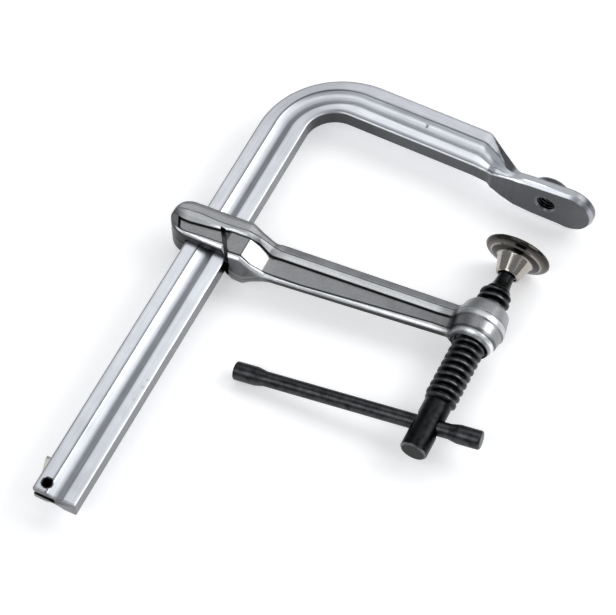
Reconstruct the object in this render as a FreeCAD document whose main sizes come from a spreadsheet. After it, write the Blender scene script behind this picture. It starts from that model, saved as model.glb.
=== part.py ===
import FreeCAD, Part

# Sliding bar clamp, in millimetres.
# An L-shaped grooved bar carries a fixed jaw plate at its short end. A forged arm loops round the long
# leg and slides on it. A screw with a ball nose runs through the arm's boss and pushes a swivel pad
# towards the jaw. A rod slides through the screw's tail. A small sprung latch at the bar's free end
# keeps the arm on the bar.
#
# Frame: the origin is the centre of the threaded hole in the jaw face, on the screw's axis. +Y points
# from the pad to the jaw, +X points away from the bar's long leg, and the clamp lies flat with +Z up.

import math
import os
import re

import Sketcher

SIZES = (
    ("bar_width", 22.0, "bar, across the throat"),
    ("bar_thick", 9.4, "bar, between its broad faces"),
    ("bar_edge", 0.9, "chamfer along the bar's edges"),
    ("bar_reach", 246.0, "jaw face to the bar's free end"),
    ("throat", 123.0, "bar to the screw's axis"),
    ("bend_outer", 46.0, "radius of the bend, outside"),
    ("bend_inner", 16.0, "radius of the bend, inside"),
    ("groove_width", 8.6, "groove in each broad face"),
    ("groove_depth", 1.4, "depth of that groove"),
    ("jaw_step", 2.4, "jaw face below the short leg's inner edge"),
    ("jaw_thick", 5.8, "jaw plate"),
    ("jaw_ground", 0.4, "ground off the forged plate to make the jaw face flat"),
    ("jaw_width", 26.4, "jaw plate at its widest, along Z"),
    ("jaw_tip", 24.4, "screw's axis to the jaw's tip"),
    ("jaw_edge", 0.8, "chamfer along the jaw's edges"),
    ("plate_from", 17.0, "screw's axis to the start of the jaw plate"),
    ("flare_from", 29.2, "screw's axis to the start of the flare"),
    ("slope_from", 39.5, "screw's axis to the end of the short leg"),
    ("jaw_boss", 18.4, "diameter of the boss behind the jaw"),
    ("jaw_boss_rise", 4.2, "height of that boss"),
    ("jaw_drill", 8.5, "bore of the jaw's M10 thread"),
    ("latch_slot", 3.2, "width of the slot at the bar's free end"),
    ("latch_slot_length", 21.0, "length of that slot"),
    ("latch_slot_depth", 11.0, "depth of that slot"),
    ("pin_size", 4.4, "diameter of the latch's pin"),
    ("pin_inset", 4.9, "pin below the bar's outer edge"),
    ("pin_from_end", 5.0, "pin from the bar's free end"),
    ("pin_sink", 0.6, "pin below each broad face"),
    ("latch_reach", 13.4, "pin to the latch's tip"),
    ("latch_show", 2.9, "tip outside the bar's outer edge"),
    ("latch_side", 0.2, "gap beside the latch in its slot"),
    ("spring_size", 2.2, "outer diameter of the latch's spring"),
    ("spring_wire", 0.45, "wire of that spring"),
    ("arm_station", 79.0, "jaw face to the middle of the arm's boss"),
    ("boss_size", 24.4, "diameter of the arm's boss"),
    ("boss_length", 20.0, "length of that boss"),
    ("boss_bevel", 2.7, "bevel of its rims"),
    ("head_wall", 12.3, "head outside the bar's outer edge"),
    ("head_thick", 20.4, "head, along Z"),
    ("head_bottom", 19.7, "head's lower side below the boss's middle"),
    ("head_top", 1.7, "head's upper side above the boss's middle"),
    ("head_drop", 2.2, "fall of the upper side towards the outer end"),
    ("head_round", 9.0, "rounding of the head's outer end"),
    ("head_inner", 4.9, "head past the bar's inner edge"),
    ("slot_side", 0.4, "gap between the bar's edges and the head"),
    ("slot_face", 0.3, "gap between the bar's faces and the head"),
    ("slot_relief", 2.6, "widening of the slot at its lower mouth"),
    ("nose_drop", 25.2, "nose below the boss's middle"),
    ("arm_thick", 6.8, "arm's flanges, along Z"),
    ("arm_web", 3.2, "arm's web, along Z"),
    ("arm_start", 17.0, "bar's inner edge to the start of the even arm"),
    ("arm_low_start", 19.7, "lower flange at the arm's start"),
    ("arm_top_start", 0.2, "upper flange at the arm's start"),
    ("arm_low_end", 8.4, "lower flange at the boss"),
    ("arm_top_end", 8.0, "upper flange at the boss"),
    ("screw_size", 16.0, "crest of the screw's thread"),
    ("screw_pitch", 4.0, "pitch of that thread"),
    ("thread_depth", 2.0, "depth of that thread"),
    ("bore_gap", 0.2, "gap between the screw and its boss"),
    ("screw_out", 39.0, "boss's middle to the ball's centre"),
    ("neck_length", 15.0, "ball's centre to the screw's shoulder"),
    ("neck_size", 8.6, "neck behind the ball"),
    ("ball_size", 10.6, "ball nose of the screw"),
    ("thread_length", 68.0, "threaded part of the screw"),
    ("shank_length", 28.0, "plain tail of the screw"),
    ("shank_size", 13.4, "diameter of that tail"),
    ("shank_edge", 0.7, "chamfer of the tail's end"),
    ("eye_size", 9.0, "cross hole for the rod"),
    ("eye_from_end", 15.5, "that hole from the tail's end"),
    ("screw_turn", 6.0, "rod's dip towards its long side, degrees"),
    ("rod_size", 7.4, "diameter of the rod"),
    ("rod_head", 9.2, "diameter of its upset ends"),
    ("rod_long", 96.0, "hole to the rod's far end"),
    ("rod_short", 26.5, "hole to the rod's near end"),
    ("rod_head_length", 11.0, "length of an upset end"),
    ("rod_taper", 4.5, "cone behind an upset end"),
    ("rod_yaw", 5.3, "rod out of square with the screw, degrees"),
    ("pad_size", 33.0, "diameter of the swivel pad"),
    ("pad_rim", 2.6, "thickness of the pad's rim"),
    ("pad_front", 8.5, "ball's centre to the pad's face"),
    ("pad_back", 5.2, "ball's centre to the pad's lip"),
    ("pad_hub", 17.6, "diameter of the pad's hub at the disc"),
    ("pad_lip", 12.4, "diameter of the hub's lip"),
    ("pad_bore", 11.0, "bore of the hub behind the ball"),
    ("pad_mouth", 9.8, "mouth in the lip, closed round the ball"),
    ("pad_lip_thick", 0.5, "lip at the mouth"),
    ("pad_tilt", 8.0, "tilt of the pad on the ball, degrees"),
    ("ball_gap", 0.1, "gap round the ball"),
    ("ring_wire", 0.8, "wire of the snap ring"),
    ("ring_back", 3.9, "ball's centre to the snap ring"),
    ("ring_gap", 0.1, "gap between the snap ring and the neck"),
)
ALIASES = {alias for alias, _, _ in SIZES}

doc = FreeCAD.newDocument("bar_clamp")
sheet = doc.addObject("Spreadsheet::Sheet", "sizes")
for row, (alias, size, note) in enumerate(SIZES, start=1):
    sheet.set(f"A{row}", note)
    sheet.set(f"B{row}", str(size))
    sheet.setAlias(f"B{row}", alias)
doc.recompute()


def linked(text):
    """The expression with each alias pointed at the sheet."""
    return re.sub(r"[a-z_]+", lambda word: f"sizes.{word[0]}" if word[0] in ALIASES else word[0], text)


def value(text):
    """The number that an expression gives now."""
    result = sheet.evalExpression(linked(text))
    return float(getattr(result, "Value", result))


def bind(thing, prop, text):
    """Ties a property to an expression of the sheet's sizes."""
    thing.setExpression(prop, linked(text))


def new_body(name):
    """An empty body whose label is the node's name."""
    made = doc.addObject("PartDesign::Body", name)
    made.Label = name
    return made


def new_sketch(body, name, role, lift="0"):
    """A sketch on one of the body's origin planes, lifted along the plane's normal."""
    made = body.newObject("Sketcher::SketchObject", name)
    plane = next(item for item in body.Origin.OriginFeatures if item.Role == role)
    made.AttachmentSupport = (plane, [""])
    made.MapMode = "FlatFace"
    bind(made, "AttachmentOffset.Base.z", lift)
    return made


def measure(made, kind, text, *ends):
    """A dimension of a sketch, tied to an expression."""
    number = made.addConstraint(Sketcher.Constraint(kind, *ends, value(text)))
    bind(made, f"Constraints[{number}]", text)


def hold(made, curve, end, across, along):
    """Holds a point of a curve at the place that two expressions give."""
    measure(made, "DistanceX", across, curve, end)
    measure(made, "DistanceY", along, curve, end)


def polygon(made, corners):
    """A closed outline of straight lines through corners, each a pair of expressions."""
    places = [FreeCAD.Vector(value(across), value(along), 0) for across, along in corners]
    lines = [made.addGeometry(Part.LineSegment(places[n - 1], places[n])) for n in range(len(places))]
    for n, line in enumerate(lines):
        following = lines[(n + 1) % len(lines)]
        made.addConstraint(Sketcher.Constraint("Coincident", line, 2, following, 1))
        hold(made, line, 2, *corners[n])


def circle(made, across, along, radius):
    """A circle at a place, with its radius, as expressions."""
    centre = FreeCAD.Vector(value(across), value(along), 0)
    ring = made.addGeometry(Part.Circle(centre, FreeCAD.Vector(0, 0, 1), value(radius)))
    hold(made, ring, 3, across, along)
    measure(made, "Radius", radius, ring)


def rounded(made, low, high, half, low_round, high_round):
    """A box between low and high along the sketch's X and +-half along Y, with rounded corners."""
    x0, x1, y1, r0, r1 = (value(text) for text in (low, high, half, low_round, high_round))
    corners = ((x0, -y1, r0, 180), (x1, -y1, r1, 270), (x1, y1, r1, 0), (x0, y1, r0, 90))
    arcs = []
    for x, y, radius, start in corners:
        centre = FreeCAD.Vector(x + radius * (1 if x == x0 else -1), y + radius * (1 if y < 0 else -1), 0)
        ring = Part.Circle(centre, FreeCAD.Vector(0, 0, 1), radius)
        arc = Part.ArcOfCircle(ring, math.radians(start), math.radians(start + 90))
        arcs.append(made.addGeometry(arc))
    sides = []
    for n in range(4):
        start = made.getPoint(arcs[n], 2)
        stop = made.getPoint(arcs[(n + 1) % 4], 1)
        sides.append(made.addGeometry(Part.LineSegment(start, stop)))
    for n in range(4):
        made.addConstraint(Sketcher.Constraint("Tangent", arcs[n], 2, sides[n], 1))
        made.addConstraint(Sketcher.Constraint("Tangent", sides[n], 2, arcs[(n + 1) % 4], 1))
        made.addConstraint(Sketcher.Constraint("Vertical" if n % 2 else "Horizontal", sides[n]))
        measure(made, "Radius", low_round if n in (0, 3) else high_round, arcs[n])
    measure(made, "DistanceY", f"-({half})", sides[0], 1)
    measure(made, "DistanceX", high, sides[1], 1)
    measure(made, "DistanceY", half, sides[2], 1)
    measure(made, "DistanceX", low, sides[3], 1)


def pad(body, made, length, name):
    """Material on both sides of a sketch, to a whole length."""
    feature = body.newObject("PartDesign::Pad", name)
    feature.Profile = made
    feature.SideType = "Symmetric"
    bind(feature, "Length", length)
    return feature


def pocket(body, made, length, name):
    """A cut on both sides of a sketch, to a whole length."""
    feature = body.newObject("PartDesign::Pocket", name)
    feature.Profile = made
    feature.SideType = "Symmetric"
    bind(feature, "Length", length)
    return feature


def revolved(body, made, name, axis="V_Axis"):
    """A turned solid about one of its sketch's axes."""
    feature = body.newObject("PartDesign::Revolution", name)
    feature.Profile = made
    feature.ReferenceAxis = (made, [axis])
    feature.Angle = 360
    return feature


def lofted(body, kind, name, *sketches):
    """A straight-sided loft through sketches, added or cut."""
    feature = body.newObject(f"PartDesign::{kind}Loft", name)
    feature.Profile = sketches[0]
    feature.Sections = list(sketches[1:])
    feature.Ruled = True
    return feature


def mirrored(body, name, role, *features):
    """The same features again on the other side of an origin plane."""
    feature = body.newObject("PartDesign::Mirrored", name)
    feature.Originals = list(features)
    plane = next(item for item in body.Origin.OriginFeatures if item.Role == role)
    feature.MirrorPlane = (plane, [""])
    body.Tip = feature
    return feature


def edges(feature, wanted):
    """Names of the edges of a feature whose middle point passes a test."""
    found = []
    for number, edge in enumerate(feature.Shape.Edges, start=1):
        middle = edge.valueAt((edge.FirstParameter + edge.LastParameter) / 2)
        if wanted(middle):
            found.append(f"Edge{number}")
    return found


def dressed(body, kind, name, feature, names, size):
    """A fillet or chamfer on named edges of a feature."""
    made = body.newObject(f"PartDesign::{kind}", name)
    made.Base = (feature, names)
    bind(made, "Radius" if kind == "Fillet" else "Size", size)
    doc.recompute()
    return made


def near(number, target, margin=0.05):
    """Whether two numbers agree within a margin."""
    return abs(number - target) < margin


# Bar: the L, thinned in the bend as a bent bar is, with the jaw end forged flat and turned a quarter.
rail = new_body("rail")
outline = new_sketch(rail, "bar_outline", "XY_Plane")
polygon(outline, (
    ("-throat - bar_width", "-bar_reach"),
    ("-throat", "-bar_reach"),
    ("-throat", "jaw_step"),
    ("-slope_from", "jaw_step"),
    ("-slope_from", "jaw_step + bar_width"),
    ("-throat - bar_width", "jaw_step + bar_width"),
))
bar = pad(rail, outline, "bar_thick", "bar")
doc.recompute()
outer_corner = edges(bar, lambda at: near(at.x, value("-throat - bar_width"))
                     and near(at.y, value("jaw_step + bar_width")) and near(at.z, 0))
bar = dressed(rail, "Fillet", "outer_bend", bar, outer_corner, "bend_outer")
inner_corner = edges(bar, lambda at: near(at.x, value("-throat")) and near(at.y, value("jaw_step"))
                     and near(at.z, 0))
bar = dressed(rail, "Fillet", "inner_bend", bar, inner_corner, "bend_inner")
rim = edges(bar, lambda at: near(abs(at.z), value("bar_thick / 2")) and at.x < value("-slope_from") - 0.1)
bar = dressed(rail, "Chamfer", "bar_edges", bar, rim, "bar_edge")

# Grooves: a shallow hollow down the middle of each broad face, from the free end round the bend.
groove_mid = "-throat - bar_width / 2"
groove_bend = "(bend_outer + bend_inner) / 2"
lane = new_sketch(rail, "groove_lane", "XY_Plane")
lane_line = "jaw_step + bar_width / 2"
corner = FreeCAD.Vector(value(groove_mid), value(lane_line), 0)
sweep = value(groove_bend)
foot = FreeCAD.Vector(corner.x, value("-bar_reach - 1"), 0)
turn_in = FreeCAD.Vector(corner.x, corner.y - sweep, 0)
turn_out = FreeCAD.Vector(corner.x + sweep, corner.y, 0)
halfway = FreeCAD.Vector(corner.x + sweep * (1 - math.sqrt(0.5)), corner.y - sweep * (1 - math.sqrt(0.5)), 0)
head = FreeCAD.Vector(value("-slope_from"), corner.y, 0)
up_leg = lane.addGeometry(Part.LineSegment(foot, turn_in))
bend = lane.addGeometry(Part.Arc(turn_in, halfway, turn_out))
out_leg = lane.addGeometry(Part.LineSegment(turn_out, head))
bend_start, bend_stop = (1, 2) if lane.getPoint(bend, 1).distanceToPoint(turn_in) < 0.01 else (2, 1)
lane.addConstraint(Sketcher.Constraint("Tangent", up_leg, 2, bend, bend_start))
lane.addConstraint(Sketcher.Constraint("Tangent", bend, bend_stop, out_leg, 1))
lane.addConstraint(Sketcher.Constraint("Vertical", up_leg))
lane.addConstraint(Sketcher.Constraint("Horizontal", out_leg))
measure(lane, "Radius", groove_bend, bend)
hold(lane, up_leg, 1, groove_mid, "-bar_reach - 1")
hold(lane, out_leg, 2, "-slope_from", lane_line)


def groove_profile(name, role, lift, middle, wide, deep, face):
    """A shallow round-bottomed hollow below a broad face, closed a millimetre above it."""
    made = new_sketch(rail, name, role, lift)
    across = value(middle)
    half = value(wide) / 2
    height = value(face)
    left = FreeCAD.Vector(across - half, height, 0)
    right = FreeCAD.Vector(across + half, height, 0)
    bottom = FreeCAD.Vector(across, height - value(deep), 0)
    above = FreeCAD.Vector(0, 1, 0)
    hollow = made.addGeometry(Part.Arc(left, bottom, right))
    first, last = (1, 2) if made.getPoint(hollow, 1).x < made.getPoint(hollow, 2).x else (2, 1)
    up = made.addGeometry(Part.LineSegment(right, right + above))
    over = made.addGeometry(Part.LineSegment(right + above, left + above))
    down = made.addGeometry(Part.LineSegment(left + above, left))
    made.addConstraint(Sketcher.Constraint("Coincident", hollow, last, up, 1))
    made.addConstraint(Sketcher.Constraint("Coincident", up, 2, over, 1))
    made.addConstraint(Sketcher.Constraint("Coincident", over, 2, down, 1))
    made.addConstraint(Sketcher.Constraint("Coincident", down, 2, hollow, first))
    hold(made, up, 1, f"{middle} + {wide} / 2", face)
    hold(made, up, 2, f"{middle} + {wide} / 2", f"{face} + 1")
    hold(made, down, 1, f"{middle} - {wide} / 2", f"{face} + 1")
    hold(made, down, 2, f"{middle} - {wide} / 2", face)
    measure(made, "Radius", f"(({wide}) * ({wide}) / 4 + ({deep}) * ({deep})) / (2 * ({deep}))", hollow)
    return made


groove_section = groove_profile("groove_section", "XZ_Plane", "bar_reach + 1", groove_mid,
                                "groove_width", "groove_depth", "bar_thick / 2")
groove = rail.newObject("PartDesign::SubtractivePipe", "groove")
groove.Profile = groove_section
groove.Spine = (lane, [])
groove_back = mirrored(rail, "groove_back", "XY_Plane", groove)

# Jaw: the short leg slopes down to a plate that lies across the screw, with a boss behind its thread.
# The grooves run out in a short ramp where the slope starts.


def leg_section(name, station, low, high, half_low, half_high, edge):
    """The short leg's outline where it is cut across at a station, with chamfered corners."""
    made = new_sketch(rail, name, "YZ_Plane", station)
    polygon(made, (
        (f"{low} + {edge}", f"-({half_low})"),
        (f"{high} - {edge}", f"-({half_high})"),
        (high, f"-({half_high}) + {edge}"),
        (high, f"{half_high} - {edge}"),
        (f"{high} - {edge}", half_high),
        (f"{low} + {edge}", half_low),
        (low, f"{half_low} - {edge}"),
        (low, f"-({half_low}) + {edge}"),
    ))
    return made


slope_share = "(slope_from - flare_from) / (slope_from - plate_from)"
flare_high = f"jaw_step + bar_width + (jaw_thick - jaw_step - bar_width) * {slope_share}"
leg_end = leg_section("leg_end", "-slope_from", "jaw_step", "jaw_step + bar_width",
                      "bar_thick / 2", "bar_thick / 2", "bar_edge")
flare = leg_section("flare", "-flare_from", "jaw_step / 3", flare_high,
                    "bar_thick / 2 + 0.1", "bar_thick / 2 + 2.4", "bar_edge")
plate_root = leg_section("plate_root", "-plate_from", "-jaw_ground", "jaw_thick",
                         "jaw_width * 0.39", "jaw_width * 0.39", "jaw_edge")
lofted(rail, "Additive", "transition", leg_end, flare, plate_root)
runout_outline = new_sketch(rail, "runout_outline", "XZ_Plane", "-jaw_step - bar_width / 2")
polygon(runout_outline, (
    ("-slope_from - 1", "bar_thick / 2 - groove_depth * 0.9"),
    ("-flare_from - 2", "bar_thick / 2 + 1"),
    ("-slope_from - 1", "bar_thick / 2 + 1"),
))
runout = pocket(rail, runout_outline, "groove_width * 0.6", "groove_runout")
mirrored(rail, "groove_runout_back", "XY_Plane", runout)

# The plate widens past its root and ends in half a circle.
TIP_CENTRE = "(jaw_tip - jaw_width / 2)"
plate_sections = [plate_root]
for number, (station, half) in enumerate((
    ("-plate_from * 0.5", "jaw_width * 0.455"),
    (TIP_CENTRE, "jaw_width / 2"),
    (f"{TIP_CENTRE} + jaw_width / 2 * 0.5", "jaw_width / 2 * 0.866"),
    (f"{TIP_CENTRE} + jaw_width / 2 * 0.819", "jaw_width / 2 * 0.574"),
    (f"{TIP_CENTRE} + jaw_width / 2 * 0.966", "jaw_width / 2 * 0.259"),
    ("jaw_tip", "jaw_edge + 0.6"),
)):
    plate_sections.append(leg_section(f"plate_{number}", station, "-jaw_ground", "jaw_thick", half, half,
                                      "jaw_edge"))
lofted(rail, "Additive", "jaw_plate", *plate_sections)
grinding = new_sketch(rail, "grinding", "XY_Plane")
polygon(grinding, (
    ("-flare_from", "-jaw_ground - 1"),
    ("jaw_tip + 1", "-jaw_ground - 1"),
    ("jaw_tip + 1", "0"),
    ("-flare_from", "0"),
))
pocket(rail, grinding, "2 * jaw_width", "jaw_face")
boss_outline = new_sketch(rail, "jaw_boss_outline", "XZ_Plane", "-jaw_thick - jaw_boss_rise / 2")
circle(boss_outline, "0", "0", "jaw_boss / 2")
jaw_boss = pad(rail, boss_outline, "jaw_boss_rise", "jaw_boss")
doc.recompute()
boss_rim = edges(jaw_boss, lambda at: near(at.y, value("jaw_thick + jaw_boss_rise"))
                 and abs(at.x) < value("jaw_boss"))
jaw_boss = dressed(rail, "Fillet", "jaw_boss_rim", jaw_boss, boss_rim, "jaw_boss_rise * 0.7")
drill = new_sketch(rail, "jaw_drill", "XZ_Plane")
circle(drill, "0", "0", "jaw_drill / 2")
pocket(rail, drill, "4 * (jaw_thick + jaw_boss_rise)", "jaw_hole")

# Free end: a slot milled into the outer edge for the latch, and the hole of its pin.
slot_outline = new_sketch(rail, "latch_slot_outline", "XY_Plane")
polygon(slot_outline, (
    ("-throat - bar_width - 1", "-bar_reach - 1"),
    ("-throat - bar_width + latch_slot_depth", "-bar_reach - 1"),
    ("-throat - bar_width + latch_slot_depth", "-bar_reach + latch_slot_length"),
    ("-throat - bar_width - 1", "-bar_reach + latch_slot_length"),
))
pocket(rail, slot_outline, "latch_slot", "latch_slot")
PIN_X = "-throat - bar_width + pin_inset"
PIN_Y = "-bar_reach + pin_from_end"
pin_drill = new_sketch(rail, "pin_drill", "XY_Plane")
circle(pin_drill, PIN_X, PIN_Y, "pin_size / 2")
pocket(rail, pin_drill, "bar_thick + 2", "pin_hole")

# Latch pin: a plain pin pressed through the bar, a little below both broad faces.
latch_pin = new_body("latch_pin")
pin_outline = new_sketch(latch_pin, "pin_outline", "XY_Plane")
circle(pin_outline, PIN_X, PIN_Y, "pin_size / 2")
pin = pad(latch_pin, pin_outline, "bar_thick - 2 * pin_sink", "pin")
doc.recompute()
dressed(latch_pin, "Chamfer", "pin_ends", pin, edges(pin, lambda at: abs(at.z) > 1), "0.4")

# Latch: a flat pawl on the pin, its back sloping out to a square tip that the arm's head stops against.
stop_latch = new_body("stop_latch")
latch_outline = new_sketch(stop_latch, "latch_outline", "XY_Plane")
polygon(latch_outline, (
    (f"{PIN_X} - pin_inset + 0.3", f"{PIN_Y} - 3.4"),
    (f"{PIN_X} + 3.4", f"{PIN_Y} - 3.4"),
    (f"{PIN_X} + 3.6", f"{PIN_Y} + 3.4"),
    (f"{PIN_X} - 0.6", f"{PIN_Y} + latch_reach"),
    (f"{PIN_X} - pin_inset - latch_show", f"{PIN_Y} + latch_reach"),
    (f"{PIN_X} - pin_inset - latch_show", f"{PIN_Y} + latch_reach - 2"),
    (f"{PIN_X} - pin_inset + 0.1", f"{PIN_Y} + 1.4"),
))
latch = pad(stop_latch, latch_outline, "latch_slot - 2 * latch_side", "latch")
eye_outline = new_sketch(stop_latch, "latch_eye_outline", "XY_Plane")
circle(eye_outline, PIN_X, PIN_Y, "pin_size / 2 + 0.05")
latch = pocket(stop_latch, eye_outline, "bar_thick", "latch_eye")
doc.recompute()
heel = edges(latch, lambda at: near(at.z, 0) and at.y < value(PIN_Y) - 3.3)
dressed(stop_latch, "Fillet", "latch_heel", latch, heel, "1.6")

# Latch spring: a short coil between the slot's floor and the back of the latch.
SPRING_Y = f"{PIN_Y} + latch_reach - 4"
SPRING_BACK = "-throat - bar_width + latch_slot_depth - 0.1"
spring_front = value(f"{PIN_X} + 3.6 - 4.2 * (latch_reach - 4 - 3.4) / (latch_reach - 3.4) + 0.35")
spring_length = value(SPRING_BACK) - spring_front
coil_radius = value("(spring_size - spring_wire) / 2")
COIL_TURNS = 5
coil_pitch = (spring_length - value("spring_wire")) / COIL_TURNS
coil_path = Part.makeHelix(coil_pitch, coil_pitch * COIL_TURNS, coil_radius)
coil_start = FreeCAD.Vector(coil_radius, 0, 0)
wire_ring = Part.Wire([Part.makeCircle(value("spring_wire / 2"), coil_start, FreeCAD.Vector(0, 1, 0))])
coil = Part.Wire(coil_path.Edges).makePipeShell([wire_ring], True, True)
latch_spring = doc.addObject("Part::Feature", "latch_spring")
latch_spring.Shape = coil
latch_spring.Label = "latch_spring"
latch_spring.Placement = FreeCAD.Placement(
    FreeCAD.Vector(spring_front + value("spring_wire / 2"), value(SPRING_Y), 0),
    FreeCAD.Rotation(FreeCAD.Vector(0, 1, 0), 90),
)

# Sliding arm, drawn about the middle of its boss: a loop head round the bar, a nose under the throat
# side, and a tapering arm with a flange along each edge and a thin web between them.
sliding_arm = new_body("sliding_arm")
bind(sliding_arm, "Placement.Base.y", "-arm_station")
HEAD_LEFT = "-throat - bar_width - head_wall"
HEAD_RIGHT = "-throat + head_inner"
HEAD_HALF = "head_thick / 2"
head_outline = new_sketch(sliding_arm, "head_outline", "XY_Plane")
polygon(head_outline, (
    (HEAD_LEFT, "-head_bottom"),
    (HEAD_RIGHT, "-head_bottom"),
    (HEAD_RIGHT, "head_top"),
    (HEAD_LEFT, "head_top - head_drop"),
))
head = pad(sliding_arm, head_outline, "head_thick", "head")
doc.recompute()
head_end = edges(head, lambda at: near(at.x, value(HEAD_LEFT)) and near(at.z, 0))
head = dressed(sliding_arm, "Fillet", "head_end", head, head_end, "head_round")
head_upper = edges(head, lambda at: near(abs(at.z), value(HEAD_HALF)) and at.y > value("-head_bottom") + 8
                   and at.x < value(HEAD_RIGHT) - 0.1)
head = dressed(sliding_arm, "Fillet", "head_rim", head, head_upper, "3")

nose_root = new_sketch(sliding_arm, "nose_root", "YZ_Plane", "-throat + slot_side")
rounded(nose_root, "-nose_drop + 2.6", "head_top - 0.2", f"{HEAD_HALF} - 0.2", "7.5", "3")
nose_full = new_sketch(sliding_arm, "nose_full", "YZ_Plane", HEAD_RIGHT)
rounded(nose_full, "-nose_drop + 0.2", "head_top", f"{HEAD_HALF} - 0.2", "7.5", "3")
nose_low = new_sketch(sliding_arm, "nose_low", "YZ_Plane", "-throat + arm_start * 0.63")
rounded(nose_low, "-nose_drop", "head_top - 1.9", f"{HEAD_HALF} * 0.7", "6", "3")
arm_root = new_sketch(sliding_arm, "arm_root", "YZ_Plane", "-throat + arm_start")
rounded(arm_root, "-arm_low_start - 0.2", "arm_top_start - 1.2", "arm_thick / 2", "2", "2.4")
lofted(sliding_arm, "Additive", "nose", nose_root, nose_full, nose_low, arm_root)
arm_near = new_sketch(sliding_arm, "arm_near", "YZ_Plane", "-throat + arm_start + 6")
rounded(arm_near, "-arm_low_start + 0.7", "arm_top_start + 0.5", "arm_thick / 2", "2", "2.4")
arm_far = new_sketch(sliding_arm, "arm_far", "YZ_Plane", "-boss_size / 2 + 3")
rounded(arm_far, "-arm_low_end", "arm_top_end", "arm_thick / 2", "2", "2.4")
lofted(sliding_arm, "Additive", "arm", arm_root, arm_near, arm_far)

boss_profile = new_sketch(sliding_arm, "boss_profile", "XY_Plane")
polygon(boss_profile, (
    ("0", "-boss_length / 2"),
    ("boss_size / 2 - boss_bevel", "-boss_length / 2"),
    ("boss_size / 2 - boss_bevel * 0.3", "-boss_length / 2 + boss_bevel * 0.8"),
    ("boss_size / 2", "-boss_length / 2 + boss_bevel * 2.2"),
    ("boss_size / 2", "boss_length / 2 - boss_bevel * 2.2"),
    ("boss_size / 2 - boss_bevel * 0.3", "boss_length / 2 - boss_bevel * 0.8"),
    ("boss_size / 2 - boss_bevel", "boss_length / 2"),
    ("0", "boss_length / 2"),
))
boss = revolved(sliding_arm, boss_profile, "boss")
doc.recompute()

# Web: a hollow in each face between the flanges, with a long slope under the upper flange.
WEB_LEFT = "-throat + arm_start"
WEB_RIGHT = "-boss_size / 2 - 4"
web_mouth = new_sketch(sliding_arm, "web_mouth", "XY_Plane", "arm_thick / 2 + 0.05")
polygon(web_mouth, (
    (f"{WEB_LEFT} - 1.5", "-arm_low_start + 1.2"),
    (f"{WEB_RIGHT} + 2", "-arm_low_end + 1.6"),
    (f"{WEB_RIGHT} + 2", "arm_top_end - 4.7"),
    (f"{WEB_LEFT} - 1.5", "arm_top_start - 4.6"),
))
web_floor = new_sketch(sliding_arm, "web_floor", "XY_Plane", "arm_web / 2")
polygon(web_floor, (
    (WEB_LEFT, "-arm_low_start + 1.6"),
    (WEB_RIGHT, "-arm_low_end + 1.9"),
    (WEB_RIGHT, "arm_top_end - 7.3"),
    (WEB_LEFT, "arm_top_start - 8.1"),
))
web = lofted(sliding_arm, "Subtractive", "web", web_mouth, web_floor)
mirrored(sliding_arm, "web_back", "XY_Plane", web)

# Head relief: the face steps down below its upper rim, and a panel over the bar is sunk again.
step_mouth = new_sketch(sliding_arm, "step_mouth", "XY_Plane", "head_thick / 2 + 0.1")
polygon(step_mouth, (
    ("-throat - bar_width - 8", "-head_bottom - 12"),
    ("-throat + arm_start", "-head_bottom - 12"),
    ("-throat + arm_start", "head_top - 3.6"),
    ("-throat - bar_width - 8", "head_top - 7.4"),
))
step_floor = new_sketch(sliding_arm, "step_floor", "XY_Plane", "head_thick / 2 - 1.2")
polygon(step_floor, (
    ("-throat - bar_width - 7", "-head_bottom - 12"),
    ("-throat + arm_start", "-head_bottom - 12"),
    ("-throat + arm_start", "head_top - 7.4"),
    ("-throat - bar_width - 7", "head_top - 9.3"),
))
step = lofted(sliding_arm, "Subtractive", "face_step", step_mouth, step_floor)
mirrored(sliding_arm, "face_step_back", "XY_Plane", step)
panel_mouth = new_sketch(sliding_arm, "panel_mouth", "XY_Plane", "head_thick / 2 - 1.15")
polygon(panel_mouth, (
    ("-throat - bar_width - 3.8", "-head_bottom + 2.2"),
    ("-throat - 1.5", "-head_bottom + 3.2"),
    ("-throat - 8.2", "head_top - 9"),
    ("-throat - bar_width - 6.6", "head_top - 10.8"),
))
panel_floor = new_sketch(sliding_arm, "panel_floor", "XY_Plane", "head_thick / 2 - 2.2")
polygon(panel_floor, (
    ("-throat - bar_width - 3.3", "-head_bottom + 2.6"),
    ("-throat - 1.5", "-head_bottom + 3.6"),
    ("-throat - 8.2", "head_top - 11.2"),
    ("-throat - bar_width - 6", "head_top - 12.2"),
))
panel = lofted(sliding_arm, "Subtractive", "panel", panel_mouth, panel_floor)
mirrored(sliding_arm, "panel_back", "XY_Plane", panel)
split_outline = new_sketch(sliding_arm, "split_outline", "XY_Plane", "head_thick / 2")
polygon(split_outline, (
    ("-throat - 9.2", "head_top - 9"),
    ("-throat - 7.4", "head_top - 9"),
    ("-throat + 1", "-head_bottom - 1"),
    ("-throat - 1", "-head_bottom - 1"),
))
split = pocket(sliding_arm, split_outline, "2 * 3.8", "split")
mirrored(sliding_arm, "split_back", "XY_Plane", split)

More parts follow.
